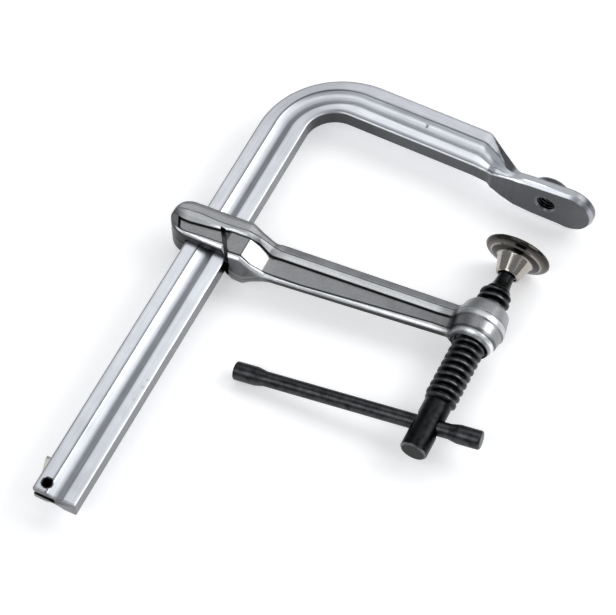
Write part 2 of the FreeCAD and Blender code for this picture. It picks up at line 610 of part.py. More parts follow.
# Slot for the bar, wider at the lower mouth on the throat side so that the arm can cock and slide.
bar_slot = new_sketch(sliding_arm, "bar_slot", "XZ_Plane")
polygon(bar_slot, (
    ("-throat - bar_width - slot_side", "-bar_thick / 2 - slot_face"),
    ("-throat + slot_side", "-bar_thick / 2 - slot_face"),
    ("-throat + slot_side", "bar_thick / 2 + slot_face"),
    ("-throat - bar_width - slot_side", "bar_thick / 2 + slot_face"),
))
pocket(sliding_arm, bar_slot, "4 * nose_drop", "bar_slot_cut")
relief_outline = new_sketch(sliding_arm, "relief_outline", "XY_Plane")
polygon(relief_outline, (
    ("-throat", "-nose_drop - 1"),
    ("-throat + slot_side + slot_relief", "-nose_drop - 1"),
    ("-throat + slot_side", "-head_bottom / 2"),
    ("-throat", "-head_bottom / 2"),
))
pocket(sliding_arm, relief_outline, "bar_thick + 2 * slot_face", "slot_relief_cut")
bore_outline = new_sketch(sliding_arm, "bore_outline", "XZ_Plane")
circle(bore_outline, "0", "0", "screw_size / 2 + bore_gap")
bore = pocket(sliding_arm, bore_outline, "2 * boss_length", "bore")
doc.recompute()

# Screw, drawn about the centre of its ball: ball nose, neck, coarse thread and plain tail with a
# cross hole. The thread's flanks stand 15 degrees off square.
spindle = new_body("spindle")
SHOULDER = "-neck_length"
THREAD_END = "-neck_length - thread_length"
TAIL = "-neck_length - thread_length - shank_length"
screw_profile = new_sketch(spindle, "screw_profile", "XY_Plane")
polygon(screw_profile, (
    ("0", "0"),
    ("neck_size / 2 - 0.4", "0"),
    ("neck_size / 2 - 0.4", f"{SHOULDER} + 7.5"),
    ("neck_size / 2", f"{SHOULDER} + 4"),
    ("neck_size / 2 + 0.6", f"{SHOULDER} + 1.4"),
    ("screw_size / 2 - thread_depth", SHOULDER),
    ("screw_size / 2", f"{SHOULDER} - 1.6"),
    ("screw_size / 2", THREAD_END),
    ("shank_size / 2", f"{THREAD_END} - 1"),
    ("shank_size / 2", f"{TAIL} + shank_edge"),
    ("shank_size / 2 - shank_edge", TAIL),
    ("0", TAIL),
))
revolved(spindle, screw_profile, "screw_blank")
ball = spindle.newObject("PartDesign::AdditiveSphere", "ball")
bind(ball, "Radius", "ball_size / 2")
thread_profile = new_sketch(spindle, "thread_profile", "XY_Plane")
ROOT = "screw_size / 2 - thread_depth"
THREAD_FOOT = THREAD_END
polygon(thread_profile, (
    (ROOT, f"{THREAD_FOOT} + 0.34 * screw_pitch"),
    (ROOT, f"{THREAD_FOOT} + 0.66 * screw_pitch"),
    ("screw_size / 2 + 0.3", f"{THREAD_FOOT} + 0.82 * screw_pitch"),
    ("screw_size / 2 + 0.3", f"{THREAD_FOOT} + 0.18 * screw_pitch"),
))
thread = spindle.newObject("PartDesign::SubtractiveHelix", "thread")
thread.Profile = thread_profile
thread.ReferenceAxis = (thread_profile, ["V_Axis"])
thread.Mode = "pitch-height-angle"
bind(thread, "Pitch", "screw_pitch")
bind(thread, "Height", "thread_length + 1")
eye_drill = new_sketch(spindle, "eye_drill", "YZ_Plane")
circle(eye_drill, f"{TAIL} + eye_from_end", "0", "eye_size / 2")
pocket(spindle, eye_drill, "2 * shank_size", "eye")
spindle_turn = FreeCAD.Rotation(FreeCAD.Vector(0, 1, 0), -value("screw_turn"))
spindle.Placement = FreeCAD.Placement(FreeCAD.Vector(0, value("screw_out - arm_station"), 0), spindle_turn)

# Rod, drawn along X about the middle of the cross hole. It leans in the hole as far as the gap lets it.
tommy_bar = new_body("tommy_bar")
rod_profile = new_sketch(tommy_bar, "rod_profile", "XY_Plane")
polygon(rod_profile, (
    ("-rod_long", "0"),
    ("-rod_long", "rod_head / 2 - 0.6"),
    ("-rod_long + 0.6", "rod_head / 2"),
    ("-rod_long + rod_head_length", "rod_head / 2"),
    ("-rod_long + rod_head_length + rod_taper", "rod_size / 2"),
    ("rod_short - rod_head_length - rod_taper", "rod_size / 2"),
    ("rod_short - rod_head_length", "rod_head / 2"),
    ("rod_short - 0.6", "rod_head / 2"),
    ("rod_short", "rod_head / 2 - 0.6"),
    ("rod_short", "0"),
))
revolved(tommy_bar, rod_profile, "rod", "H_Axis")
eye_y = value(f"screw_out - arm_station + {TAIL} + eye_from_end")
rod_lean = FreeCAD.Rotation(FreeCAD.Vector(0, 0, 1), value("rod_yaw"))
tommy_bar.Placement = FreeCAD.Placement(FreeCAD.Vector(0, eye_y, 0), spindle_turn.multiply(rod_lean))

# Swivel pad, drawn about the ball's centre: a disc with a stepped back and a tapering hub, whose lip is
# closed in behind the ball and leaves a mouth wide enough for the neck to tilt in.
swivel_pad = new_body("swivel_pad")
pad_profile = new_sketch(swivel_pad, "pad_profile", "XY_Plane")
polygon(pad_profile, (
    ("0", "pad_front"),
    ("pad_size / 2 - 0.8", "pad_front"),
    ("pad_size / 2", "pad_front - 0.8"),
    ("pad_size / 2", "pad_front - pad_rim + 0.9"),
    ("pad_size / 2 - 0.9", "pad_front - pad_rim"),
    ("pad_size / 2 - 3.4", "pad_front - pad_rim - 0.5"),
    ("pad_size / 2 - 4", "pad_front - pad_rim - 1.4"),
    ("pad_hub / 2 + 0.8", "pad_front - pad_rim - 1.8"),
    ("pad_hub / 2", "pad_front - pad_rim - 2.5"),
    ("pad_lip / 2", "-pad_back + 1"),
    ("pad_lip / 2 - 0.3", "-pad_back"),
    ("pad_mouth / 2", "-pad_back"),
    ("pad_mouth / 2", "-pad_back + pad_lip_thick"),
    ("pad_bore / 2", "-pad_back + pad_lip_thick"),
    ("pad_bore / 2", "0"),
    ("0", "0"),
))
revolved(swivel_pad, pad_profile, "pad_blank")
socket = swivel_pad.newObject("PartDesign::SubtractiveSphere", "socket")
bind(socket, "Radius", "ball_size / 2 + ball_gap")
swivel_pad.Placement = FreeCAD.Placement(
    FreeCAD.Vector(0, value("screw_out - arm_station"), 0),
    FreeCAD.Rotation(FreeCAD.Vector(1, 0, 0), value("pad_tilt")),
)

# Snap ring: an open ring of wire round the neck, inside the pad's hub, behind the ball.
ring_radius = value("neck_size / 2 - 0.4 + ring_gap + ring_wire / 2")
RING_GAP_ANGLE = 50
ring_section = Part.Wire([Part.makeCircle(value("ring_wire / 2"), FreeCAD.Vector(ring_radius, 0, 0),
                                          FreeCAD.Vector(0, 0, 1))])
ring_solid = Part.Face(ring_section).revolve(FreeCAD.Vector(0, 0, 0), FreeCAD.Vector(0, 1, 0),
                                             360 - RING_GAP_ANGLE)
pad_snap_ring = doc.addObject("Part::Feature", "pad_snap_ring")
pad_snap_ring.Shape = ring_solid
pad_snap_ring.Label = "pad_snap_ring"
pad_snap_ring.Placement = FreeCAD.Placement(
    FreeCAD.Vector(0, value("screw_out - arm_station - ring_back"), 0),
    FreeCAD.Rotation(FreeCAD.Vector(0, 1, 0), 200),
)

NODES = (rail, latch_pin, stop_latch, latch_spring, sliding_arm, spindle, tommy_bar, swivel_pad, pad_snap_ring)
doc.recompute()
for thing in doc.Objects:
    for word in ("Invalid", "Error"):
        if word in thing.State:
            raise RuntimeError(f"{thing.Name} is {word}")
os.makedirs("parts", exist_ok=True)
for node in NODES:
    if node.Shape.isNull() or not node.Shape.isValid():
        raise RuntimeError(f"{node.Label} has no valid shape")
    box = node.Shape.BoundBox
    print(f"{node.Label}: {len(node.Shape.Solids)} solid, {node.Shape.Volume:.0f} mm3,"
          f" x {box.XMin:.1f} to {box.XMax:.1f}, y {box.YMin:.1f} to {box.YMax:.1f},"
          f" z {box.ZMin:.1f} to {box.ZMax:.1f}")
    node.Shape.exportStep(f"parts/{node.Label}.step")
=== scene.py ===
import bmesh
import bpy
import math
import numpy as np
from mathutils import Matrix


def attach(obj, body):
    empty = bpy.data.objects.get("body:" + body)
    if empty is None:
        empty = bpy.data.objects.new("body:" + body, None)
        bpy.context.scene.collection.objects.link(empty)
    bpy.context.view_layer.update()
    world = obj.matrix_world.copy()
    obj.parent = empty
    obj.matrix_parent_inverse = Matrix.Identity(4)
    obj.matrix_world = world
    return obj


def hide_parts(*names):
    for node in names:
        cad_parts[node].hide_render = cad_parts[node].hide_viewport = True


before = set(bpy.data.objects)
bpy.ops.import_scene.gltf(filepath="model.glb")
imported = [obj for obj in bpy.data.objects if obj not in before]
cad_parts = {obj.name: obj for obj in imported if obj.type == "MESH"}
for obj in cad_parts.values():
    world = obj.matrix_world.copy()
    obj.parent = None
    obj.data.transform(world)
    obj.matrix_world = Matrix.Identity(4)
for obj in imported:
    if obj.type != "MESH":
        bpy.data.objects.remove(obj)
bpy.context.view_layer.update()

# View: the clamp lies flat and is seen from its screw's tail, well above, from about 1.1 m away.
# The camera's place and lens follow from the bar's straight edges and the pad's round rim.
scene = bpy.context.scene
AIM = np.array([-0.077095, -0.103682, 0.0])
AZIMUTH, ELEVATION, DISTANCE = math.radians(26.554), math.radians(59.271), 1.09776
FOCAL_PIXELS, WIDE_PIXELS, SENSOR = 2317.278, 616, 36
VIEW = np.array([math.sin(AZIMUTH) * math.cos(ELEVATION), -math.cos(AZIMUTH) * math.cos(ELEVATION),
                 math.sin(ELEVATION)])
camera = bpy.data.objects.new("camera", bpy.data.cameras.new("camera"))
camera.data.sensor_width = SENSOR
camera.data.lens = FOCAL_PIXELS / WIDE_PIXELS * SENSOR
camera.location = AIM + VIEW * DISTANCE
camera.rotation_euler = (math.pi / 2 - ELEVATION, 0, AZIMUTH)
scene.collection.objects.link(camera)
scene.camera = camera
scene.view_settings.view_transform = "Standard"

# Studio: a pale floor under the clamp, soft boxes above its front and its back, two brighter ones to the
# right, and a dim room of one colour all round. The metal's dark sides are painted shade, set by its tone.


def linear(code):
    """A hex sRGB colour as linear RGBA: a channel up to 0.04045 is divided by 12.92, and a larger one has
    0.055 added, is divided by 1.055 and raised to the power of 2.4."""
    part = np.array([int(code[n:n + 2], 16) for n in (1, 3, 5)]) / 255
    return (*np.where(part <= 0.04045, part / 12.92, ((part + 0.055) / 1.055) ** 2.4), 1.0)


def add(tree, kind, inputs=(), **settings):
    """Adds a node. Settings are its own, and inputs maps a socket to a value or to another node's output."""
    made = tree.nodes.new(kind)
    for key, given in settings.items():
        setattr(made, key, given)
    for key, given in dict(inputs).items():
        if isinstance(given, bpy.types.NodeSocket):
            tree.links.new(given, made.inputs[key])
        else:
            made.inputs[key].default_value = given
    return made


def soft_box(name, place, aim, wide, high, level):
    """A soft box that faces a point, and whose surface is as bright as level, where 1 is white. Its power
    is pi times its level times its area."""
    light = bpy.data.lights.new(name, "AREA")
    light.shape = "RECTANGLE"
    light.size, light.size_y = wide, high
    light.energy = level * math.pi * wide * high
    made = bpy.data.objects.new(name, light)
    made.location = place
    away = np.array(place) - np.array(aim)
    made.rotation_euler = (math.atan2(math.hypot(away[0], away[1]), away[2]), 0,
                           math.atan2(away[1], away[0]) + math.pi / 2)
    made.visible_camera = False
    scene.collection.objects.link(made)


CLAMP = (-0.06, -0.11, 0.0)
soft_box("front", (-0.38, -0.95, 1.08), CLAMP, 0.8, 0.7, 2.4)
soft_box("back", (-0.20, 0.66, 1.25), CLAMP, 1.25, 0.95, 1.05)
soft_box("key", (0.90, 0.62, 1.01), CLAMP, 0.9, 0.9, 3.2)
soft_box("side", (0.90, -0.30, 1.01), CLAMP, 0.36, 0.36, 2.6)
world = bpy.data.worlds.new("studio")
world.use_nodes = True
world.node_tree.nodes["Background"].inputs["Color"].default_value = linear("#F1F4FA")
world.node_tree.nodes["Background"].inputs["Strength"].default_value = 0.36
scene.world = world

# Matt paper, without gloss. A glow that only the camera and reflections see makes it look white, and it
# keeps the clamp's shadow. It lies 0.4 mm under the clamp's lowest point.
FLOOR_Z = -0.0158
floor_mesh = bpy.data.meshes.new("floor")
floor_mesh.from_pydata([(x, y, FLOOR_Z) for x, y in ((-6, -6), (6, -6), (6, 6), (-6, 6))], [], [(0, 1, 2, 3)])
floor = bpy.data.objects.new("floor", floor_mesh)
scene.collection.objects.link(floor)
paper = bpy.data.materials.new("paper_floor")
paper.use_nodes = True
shader = paper.node_tree.nodes["Principled BSDF"]
shader.inputs["Base Color"].default_value = linear("#FBFBFB")
shader.inputs["Roughness"].default_value = 0.9
shader.inputs["Specular IOR Level"].default_value = 0.0
tree = paper.node_tree
ray = add(tree, "ShaderNodeLightPath").outputs
seen = add(tree, "ShaderNodeMath", {0: ray["Is Camera Ray"], 1: ray["Is Glossy Ray"]}, operation="ADD")
seen = add(tree, "ShaderNodeMath", {0: seen.outputs[0], 1: ray["Is Transmission Ray"]}, operation="ADD",
           use_clamp=True)
glow = add(tree, "ShaderNodeMath", {0: seen.outputs[0], 1: 0.33}, operation="MULTIPLY")
tree.links.new(glow.outputs[0], shader.inputs["Emission Strength"])
shader.inputs["Emission Color"].default_value = (1, 1, 1, 1)
floor_mesh.materials.append(paper)

# Bar: drawn steel with a shallow hollow down each broad face, bent once into an L and thinned in the
# bend. Its jaw end is forged flat across the screw, with a round boss and a thread. Bright zinc plated.


def rows_of(count, across, wrap, first):
    """Four corners of each face between neighbouring points of a grid, which closes round its second way
    or not. Point n of row m has the number first + m times the row's length + n."""
    row, column = np.meshgrid(np.arange(count - 1), np.arange(across if wrap else across - 1), indexing="ij")
    after = (column + 1) % across
    corners = np.stack([row * across + column, row * across + after,
                        (row + 1) * across + after, (row + 1) * across + column], axis=-1)
    return corners.reshape(-1, 4) + first


def skin(name, *sheets, caps=True, sharp=32, **traits):
    """One closed piece from grids of points in millimetres, each with whether it closes round.
    The first and last loops of a closed grid are capped, doubles are merged and faces turned outwards.
    A trait is a number at each point of the grids, kept as an attribute for the material."""
    points, faces, ends, first = [], [], [], 0
    for grid, wrap in sheets:
        count, across = grid.shape[:2]
        points.append(grid.reshape(-1, 3))
        faces += rows_of(count, across, wrap, first).tolist()
        if wrap and caps:
            ends.append(list(range(first, first + across)))
            ends.append(list(range(first + (count - 1) * across, first + count * across)))
        first += count * across
    mesh = bpy.data.meshes.new(name)
    mesh.from_pydata(np.concatenate(points) / 1000, [], faces + ends)
    for trait, values in traits.items():
        kept = mesh.attributes.new(trait, "FLOAT", "POINT").data
        kept.foreach_set("value", np.ravel(values).astype(np.float32))
    return settled(name, mesh, sharp)


def settled(name, mesh, sharp):
    """Merges doubles, turns faces outwards, shades smooth but for edges over an angle, and links the piece."""
    work = bmesh.new()
    work.from_mesh(mesh)
    bmesh.ops.remove_doubles(work, verts=work.verts, dist=2e-6)
    bmesh.ops.dissolve_degenerate(work, edges=work.edges, dist=1e-7)
    bmesh.ops.recalc_face_normals(work, faces=work.faces)
    work.to_mesh(mesh)
    work.free()
    mesh.shade_smooth()
    mesh.set_sharp_from_angle(angle=math.radians(sharp))
    made = bpy.data.objects.new(name, mesh)
    scene.collection.objects.link(made)
    return made


def shaped(piece, tool, way="DIFFERENCE", sharp=32):
    """The piece after another closed form is cut from it or joined to it. The other form is used up."""
    change = piece.modifiers.new("shape", "BOOLEAN")
    change.solver, change.operation, change.object = "EXACT", way, tool
    mesh = bpy.data.meshes.new_from_object(piece.evaluated_get(bpy.context.evaluated_depsgraph_get()))
    piece.modifiers.clear()
    piece.data = mesh
    bpy.data.objects.remove(tool)
    mesh.shade_smooth()
    mesh.set_sharp_from_angle(angle=math.radians(sharp))
    return piece


def retoned(piece, *rules):
    """Sets a piece's tone anew. Each rule is a test on the points' places, in millimetres, and a tone."""
    count = len(piece.data.vertices)
    place, tone = np.empty(count * 3), np.empty(count)
    piece.data.vertices.foreach_get("co", place)
    values = piece.data.attributes["tone"].data
    values.foreach_get("value", tone)
    x, y, z = place.reshape(-1, 3).T * 1000
    for test, level in rules:
        tone = np.where(test(x, y, z), level, tone)
    values.foreach_set("value", tone)


def turned(name, profile, centre, axis, turns=96, made=True, tone=None):
    """A form of revolution: the profile's pairs are place along the axis and radius, in millimetres.
    Each point is the centre, plus its place along the axis, plus its radius round the axis."""
    axis = np.array(axis, float) / np.linalg.norm(axis)
    side = np.cross(axis, (0, 0, 1.0) if abs(axis[2]) < 0.9 else (1.0, 0, 0))
    side /= np.linalg.norm(side)
    other = np.cross(axis, side)
    angle = np.linspace(0, 2 * math.pi, turns, endpoint=False)[None, :, None]
    along, radius = np.array(profile, float).T[:, :, None, None]
    grid = np.array(centre) + along * axis + radius * (np.cos(angle) * side + np.sin(angle) * other)
    traits = {} if tone is None else {"tone": np.reshape(tone, (-1, 1)) + np.zeros(grid.shape[:2])}
    return skin(name, (grid, True), **traits) if made else grid


def softened(corners, steps=5):
    """A line of points with each corner rounded: corners are (a, b, radius), and a corner becomes an arc
    that touches both of its sides, worked out from its half angle."""
    corners = np.array(corners, float)
    line = [corners[:1, :2]]
    for before, here, after in zip(corners[:-2], corners[1:-1], corners[2:]):
        to, on = before[:2] - here[:2], after[:2] - here[:2]
        far_to, far_on = np.linalg.norm(to), np.linalg.norm(on)
        to, on = to / far_to, on / far_on
        half = math.acos(float(np.clip(to @ on, -1, 1))) / 2
        if here[2] == 0 or half > math.radians(88):
            line.append(here[None, :2])
            continue
        cut = min(here[2] / math.tan(half), 0.49 * far_to, 0.49 * far_on)
        radius = cut * math.tan(half)
        middle = here[:2] + (to + on) / np.linalg.norm(to + on) * radius / math.sin(half)
        first, last = here[:2] + to * cut - middle, here[:2] + on * cut - middle
        start = math.atan2(first[1], first[0])
        sweep = (math.atan2(last[1], last[0]) - start + math.pi) % (2 * math.pi) - math.pi
        angle = start + sweep * np.linspace(0, 1, steps)
        line.append(middle + radius * np.stack([np.cos(angle), np.sin(angle)], axis=1))
    line.append(corners[-1:, :2])
    return np.concatenate(line)


def eased(at, places, values, reach):
    """A line through the values whose corners are rounded, by averaging it over +-reach."""
    return np.mean([np.interp(at + shift, places, values) for shift in np.linspace(-reach, reach, 9)], axis=0)


# Stations along the bar, closer together by the latch's slot, the nicks and the pit. Millimetres are used
# from here on.
share = np.concatenate([np.linspace(0, 0.045, 18)[1:], np.linspace(0.045, 0.255, 16)[1:],
                        np.linspace(0.255, 0.33, 30)[1:], np.linspace(0.33, 1, 46)[1:]])[:, None]
angle = np.linspace(0, math.pi / 2, 56)[1:, None]
run = np.concatenate([np.linspace(0, 0.52, 16)[1:], np.linspace(0.52, 0.576, 13)[1:],
                      np.linspace(0.576, 1, 14)[1:]])[:, None]
TIP_X, SLOPE_X, FREE_Y = 11.2, -43.4, -246.0
slope_x = np.concatenate([np.linspace(-43, -16, 46), np.linspace(-15.4, TIP_X, 26)])


def edge(x, y, radius, chamfer, slope_y):
    """One edge of the bar in plan: the free end's chamfer, the long leg at this x, a quarter turn of this
    radius, the short leg at this y to where the slope starts, and the slope's and plate's own line."""
    bend_x, bend_y = x + radius, y - radius
    return np.concatenate([
        [(x + chamfer, FREE_Y), (x + 0.3 * chamfer, FREE_Y + 0.15), (x, FREE_Y + 0.5)],
        np.hstack([x + 0 * share, FREE_Y + 0.5 + (bend_y - FREE_Y - 0.5) * share]),
        np.hstack([bend_x - radius * np.cos(angle), bend_y + radius * np.sin(angle)]),
        np.hstack([bend_x + (SLOPE_X - bend_x) * run, y + 0 * run]), np.stack([slope_x, slope_y], axis=1)])


PLACES = (-60, -39.5, -29.2, -17, -8.5, TIP_X)
outer = edge(-145.0, 24.4, 46.0, 0.5, eased(slope_x, PLACES, (24.4, 24.4, 15.8, 5.8, 5.8, 5.8), 1.6))
inner = edge(-123.0, 2.4, 16.0, -0.5, eased(slope_x, (-60, -39.5, -31.5, -29.2, 12), (2.4, 2.4, 1.5, 0, 0), 0.8))
plain = len(outer) - len(slope_x)


def on_slope(before, line):
    """A value at every station: what is given for the stations before the slope, then the slope's line."""
    return np.concatenate([np.full(plain, before), line])[:, None]


# Half the thickness by the outer and by the inner edge, and the radius of both edges.
HALF, EDGE = 4.7, 0.85
leg_half = np.concatenate([[HALF - 0.5, HALF - 0.15], np.full(plain - 2, HALF)])
half_high = on_slope(leg_half, eased(slope_x, PLACES, (HALF, HALF, 6.9, 10.0, 11.3, 13.2), 1.6))
half_low = on_slope(leg_half, eased(slope_x, (-60, -39.5, -31.5, -29, -17, -8.5, TIP_X),
                                    (HALF, HALF, 5.4, 7.2, 9.9, 11.1, 13.2), 0.8))
reach = np.linalg.norm(outer - inner, axis=1)[:, None]

# Across a station: up the outer side, round its edge, over a land, the hollow and a land, round the far
# edge and down the inner side. The other face mirrors this one.
SIDE, ROUND, LAND = 9, 6, 5
rise, bend_over = np.linspace(0, 1, SIDE)[None, :], np.linspace(0, math.pi / 2, ROUND)[None, :]
flat = np.linspace(0, 1, LAND + 2)[None, 1:-1]
# The hollow has a short steep wall, then an arc 1.4 mm deep in all. It narrows and fades on the slope.
hollow = np.concatenate([[-4.3, -4.2, -4.05], np.linspace(-3.8, 3.8, 21), [4.05, 4.2, 4.3]])[None, :]
dip = np.where(np.abs(hollow) > 4.05, (4.3 - np.abs(hollow)) * 1.8, 0.45 + 0.95 * (1 - (hollow / 4.05) ** 2))
NECK = (-60, -39.5, -30, -23.7, -19, -17, 12)
groove = on_slope(1, eased(slope_x, NECK, (1, 1, 0.85, 0.33, 0.14, 0.1, 0.1), 1.0))
centre = on_slope(reach[:plain, 0] / 2, eased(slope_x, NECK, (11, 11, 8.2, 7.0, 4.2, 2.7, 2.3), 1.0))
fade = on_slope(1, np.clip((-20 - slope_x) / 14, 0, 1))
start, stop = centre - 4.3 * groove, centre + 4.3 * groove
# The jaw's face has a flat facet along its edges, 2.4 mm wide and 1.3 mm deep, that grows out of the round.
facet = on_slope(0, np.interp(slope_x, (-26, -12), (0, 1)))
wide, deep = EDGE + (2.4 - EDGE) * facet, EDGE + (1.3 - EDGE) * facet
level = bend_over / (math.pi / 2)
in_wide = np.sin(bend_over) + (level - np.sin(bend_over)) * facet
in_deep = np.cos(bend_over) + (1 - level - np.cos(bend_over)) * facet
# The lanes where the land, the hollow, the second land, the far edge and the inner side begin. The side's
# first lane lies on the edge's last.
FACE = SIDE + ROUND
GROOVE = FACE + LAND
FAR_FACE = GROOVE + hollow.shape[1]
RIM = FAR_FACE + LAND
FLANK = RIM + ROUND - 1
across = np.hstack([
    0 * rise + 0 * reach, EDGE * (1 - np.cos(bend_over)) + 0 * reach, EDGE + (start - EDGE) * flat,
    centre + hollow * groove, stop + (reach - wide - stop) * flat,
    reach - wide + wide * in_wide, reach + 0 * rise])
half_here = half_high + (half_low - half_high) * across / reach
over = np.hstack([
    (half_high - EDGE) * rise, half_high - EDGE + EDGE * np.sin(bend_over), half_here[:, FACE:GROOVE],
    half_here[:, GROOVE:FAR_FACE] - dip * fade * groove, half_here[:, FAR_FACE:RIM],
    half_low - deep + deep * in_deep, (half_low - deep) * (1 - rise)])
plan = outer[:, None, :] + (inner - outer)[:, None, :] * (across / reach)[:, :, None]
upper = np.concatenate([plan, over[:, :, None]], axis=2)
# Underneath the plate was pressed out a little further, and its neck a little less.
under = on_slope(1, eased(slope_x, (-60, -39.5, -28.4, -23.3, -16.5, -6.8, 8, 10, 14),
                          (1, 1, 0.68, 1.02, 1.2, 1.15, 0.99, 1, 1), 1.0))[:, :, None]
lower = upper[:, -2:0:-1] * (1, 1, -1) * (under * (0, 0, 1) + (1, 1, 0))
# A small pit in the short leg's hollow and three nicks near the long leg's inner edge: round bell shapes,
# each with its place, radius and share of the full depth of 0.4 mm.
pit = np.zeros(across.shape)
for x, y, size, depth in ((-70.2, 14.3, 0.5, 1.0), (-124.9, -174.6, 0.5, 0.5), (-125.2, -179.0, 0.6, 0.5),
                          (-125.4, -186.2, 0.5, 0.5)):
    pit += depth * np.exp(-((upper[..., 0] - x) ** 2 + (upper[..., 1] - y) ** 2) / size ** 2)
upper[..., 2] -= 0.4 * pit
loops = np.concatenate([upper, lower], axis=1)

# The plate's tip is half a turn of the last station about the middle of its round end.
spin = np.linspace(0, math.pi, 49)[:, None]
last = upper[-1]
tip = np.stack([TIP_X + np.sin(spin) * last[None, :, 2], last[None, :, 1] + 0 * spin,
                np.cos(spin) * last[None, :, 2]], axis=2)

# Brightness across a station, painted into the colour: painted shade on the sides and along the hollow's
# borders, painted highlights on the faces and in the hollow. The short leg is painted duller, and changes over the
# 45 mm of path round the bend's end.
path = np.concatenate([[0], np.cumsum(np.linalg.norm(np.diff((outer + inner) / 2, axis=0), axis=1))])[:, None]
middle = np.linspace(-1, 1, 21)
lane_long = np.concatenate([
    np.full(SIDE, 0.2), np.linspace(0.3, 0.72, ROUND), np.full(LAND, 0.72), [0.3, 0.22, 0.5],
    np.interp(middle, (-1, -0.4, 0, 0.4, 1), (0.95, 0.98, 0.66, 0.62, 0.8)), [0.5, 0.22, 0.3],
    np.full(LAND, 0.72), [0.8, 0.9, 0.9, 0.8, 0.6, 0.4], np.zeros(SIDE)])[None, :]
lane_short = np.concatenate([
    np.full(SIDE, 0.2), np.linspace(0.3, 0.55, ROUND), np.full(LAND, 0.56), [0.3, 0.2, 0.5],
    np.interp(middle, (-1, -0.5, 0, 0.5, 1), (0.95, 0.9, 0.55, 0.95, 0.85)), [0.4, 0.2, 0.3],
    [0.76, 0.76, 0.76, 0.7, 0.35], [0.22, 0.7, 0.9, 0.8, 0.5, 0.3], np.zeros(SIDE)])[None, :]
lane = lane_long + (lane_short - lane_long) * np.clip((path - 222) / 45, 0, 1)
lane = lane * np.interp(path, (0, 120, 190, 228, 250, 278), (1, 1, 0.88, 0.8, 0.7, 1))
# The slope is painted brighter but for painted shade on a flank by its outer edge, the plate is painted dull
# but for a painted highlight on the face's facet, and the neck between them has a painted highlight.
flank = on_slope(0, np.interp(slope_x, (-41, -36.7, -30, -23.7, -20, -18.5), (0, 1.6, 3.3, 5.8, 5.0, 0)))
sloped = on_slope(0, np.clip((slope_x + 42) / 6, 0, 1))
plate = on_slope(0, np.clip((slope_x + 21) / 3, 0, 1))
neck = on_slope(0, np.exp(-((slope_x + 21.5) / 2.6) ** 2))
order = np.arange(across.shape[1])[None, :]
lane = lane * (1 + 0.35 * sloped)
lane = lane + (0.12 - lane) * sloped * np.clip((flank - across) / 0.5, 0, 1)
lane = lane + (np.where(order < RIM, 0.42, 0.95) - lane) * plate
lane = lane + (1 - lane) * neck * (order > GROOVE + 2) * (order <= FLANK)
side_tone = np.interp(path, (0, 200, 222, 240, 285, 300, 400), (0.2, 0.2, 0.14, 0.05, 0.07, 0.1, 0.11))
tone = np.where(order >= FLANK, side_tone, lane)
tone[:2] = 0.2
# The pit and the nicks are darker, the tip has painted shade as it turns under, and the lower face repeats the
# upper one.
traits = {"tone": tone, "along": path + 0 * tone, "across": across + 0 * tone}
pit_darker = {"tone": 1 - 0.6 * np.clip(pit, 0, 1), "along": 1, "across": 1}
tip_tone = {"tone": 1 - 0.55 * np.clip(spin / 0.5, 0, 1) * (order < FLANK), "along": 1, "across": 1}
traits = {key: np.concatenate([np.ravel(np.hstack([value * pit_darker[key], value[:, -2:0:-1]])),
                               np.ravel(value[-1:] * tip_tone[key] + 0 * spin)]) for key, value in traits.items()}
bar = skin("bar", (loops, True), (tip, False), caps=False, **traits)
# The free end is closed by one face.
work = bmesh.new()
work.from_mesh(bar.data)
bmesh.ops.holes_fill(work, edges=[edge for edge in work.edges if edge.is_boundary], sides=0)
bmesh.ops.recalc_face_normals(work, faces=work.faces)
work.to_mesh(bar.data)
work.free()

# The jaw's boss: a short pillar with a rounded rim on the plate's far side.
mound = softened([(4.5, 0, 0), (4.5, 11.8, 0), (5.76, 11.8, 0), (6.0, 10.8, 1.2), (10, 9.9, 2.2), (10, 0, 0)], 8)
shaped(bar, turned("boss", mound, (0, 0, 0), (0, 1, 0)), "UNION")

# The jaw's thread is M10: its cutter's radius rises and falls once in each pitch along and round it, and
# both of its mouths are countersunk.
FINE_PITCH, TAP_RADIUS, THREAD_DEPTH = 1.5, 4.25, 0.8
along = np.arange(-0.5, 10.6, 0.15)[:, None]
turn = np.linspace(0, 2 * math.pi, 48, endpoint=False)[None, :]
phase = (along / FINE_PITCH - turn / (2 * math.pi)) % 1
radius = TAP_RADIUS + THREAD_DEPTH * np.clip(1.6 * (1 - 2 * np.abs(phase - 0.5)) - 0.3, 0, 1)
mouth = np.maximum(np.clip(1.0 - along, 0, 1.3), np.clip(along - 9.0, 0, 1.3))
radius = np.maximum(radius, TAP_RADIUS + 0.05 + mouth)
thread = np.stack([radius * np.sin(turn), along + 0 * turn, radius * np.cos(turn)], axis=2)
shaped(bar, skin("thread", (thread, True)))

# A slot for the latch is milled into the outer edge at the free end, and its pin's hole drilled across.
SLOT_X, SLOT_Y, SLOT_HALF = -134.0, -225.0, 1.6
PIN, PIN_HOLE, PIN_MOUTH = np.array([-140.1, -241.0]), 2.25, 2.9
corners = ((-248.0, -SLOT_HALF), (-248.0, SLOT_HALF), (SLOT_Y, SLOT_HALF), (SLOT_Y, -SLOT_HALF))
milled = np.array([[(x, y, z) for y, z in corners] for x in (-147.0, SLOT_X)])
shaped(bar, skin("slot", (milled, True)))
drilled = [(-6, PIN_MOUTH), (-4.85, PIN_MOUTH), (-4.4, PIN_HOLE),
           (4.4, PIN_HOLE), (4.85, PIN_MOUTH), (6, PIN_MOUTH)]
shaped(bar, turned("pin_hole", drilled, (*PIN, 0), (0, 0, 1), 40))
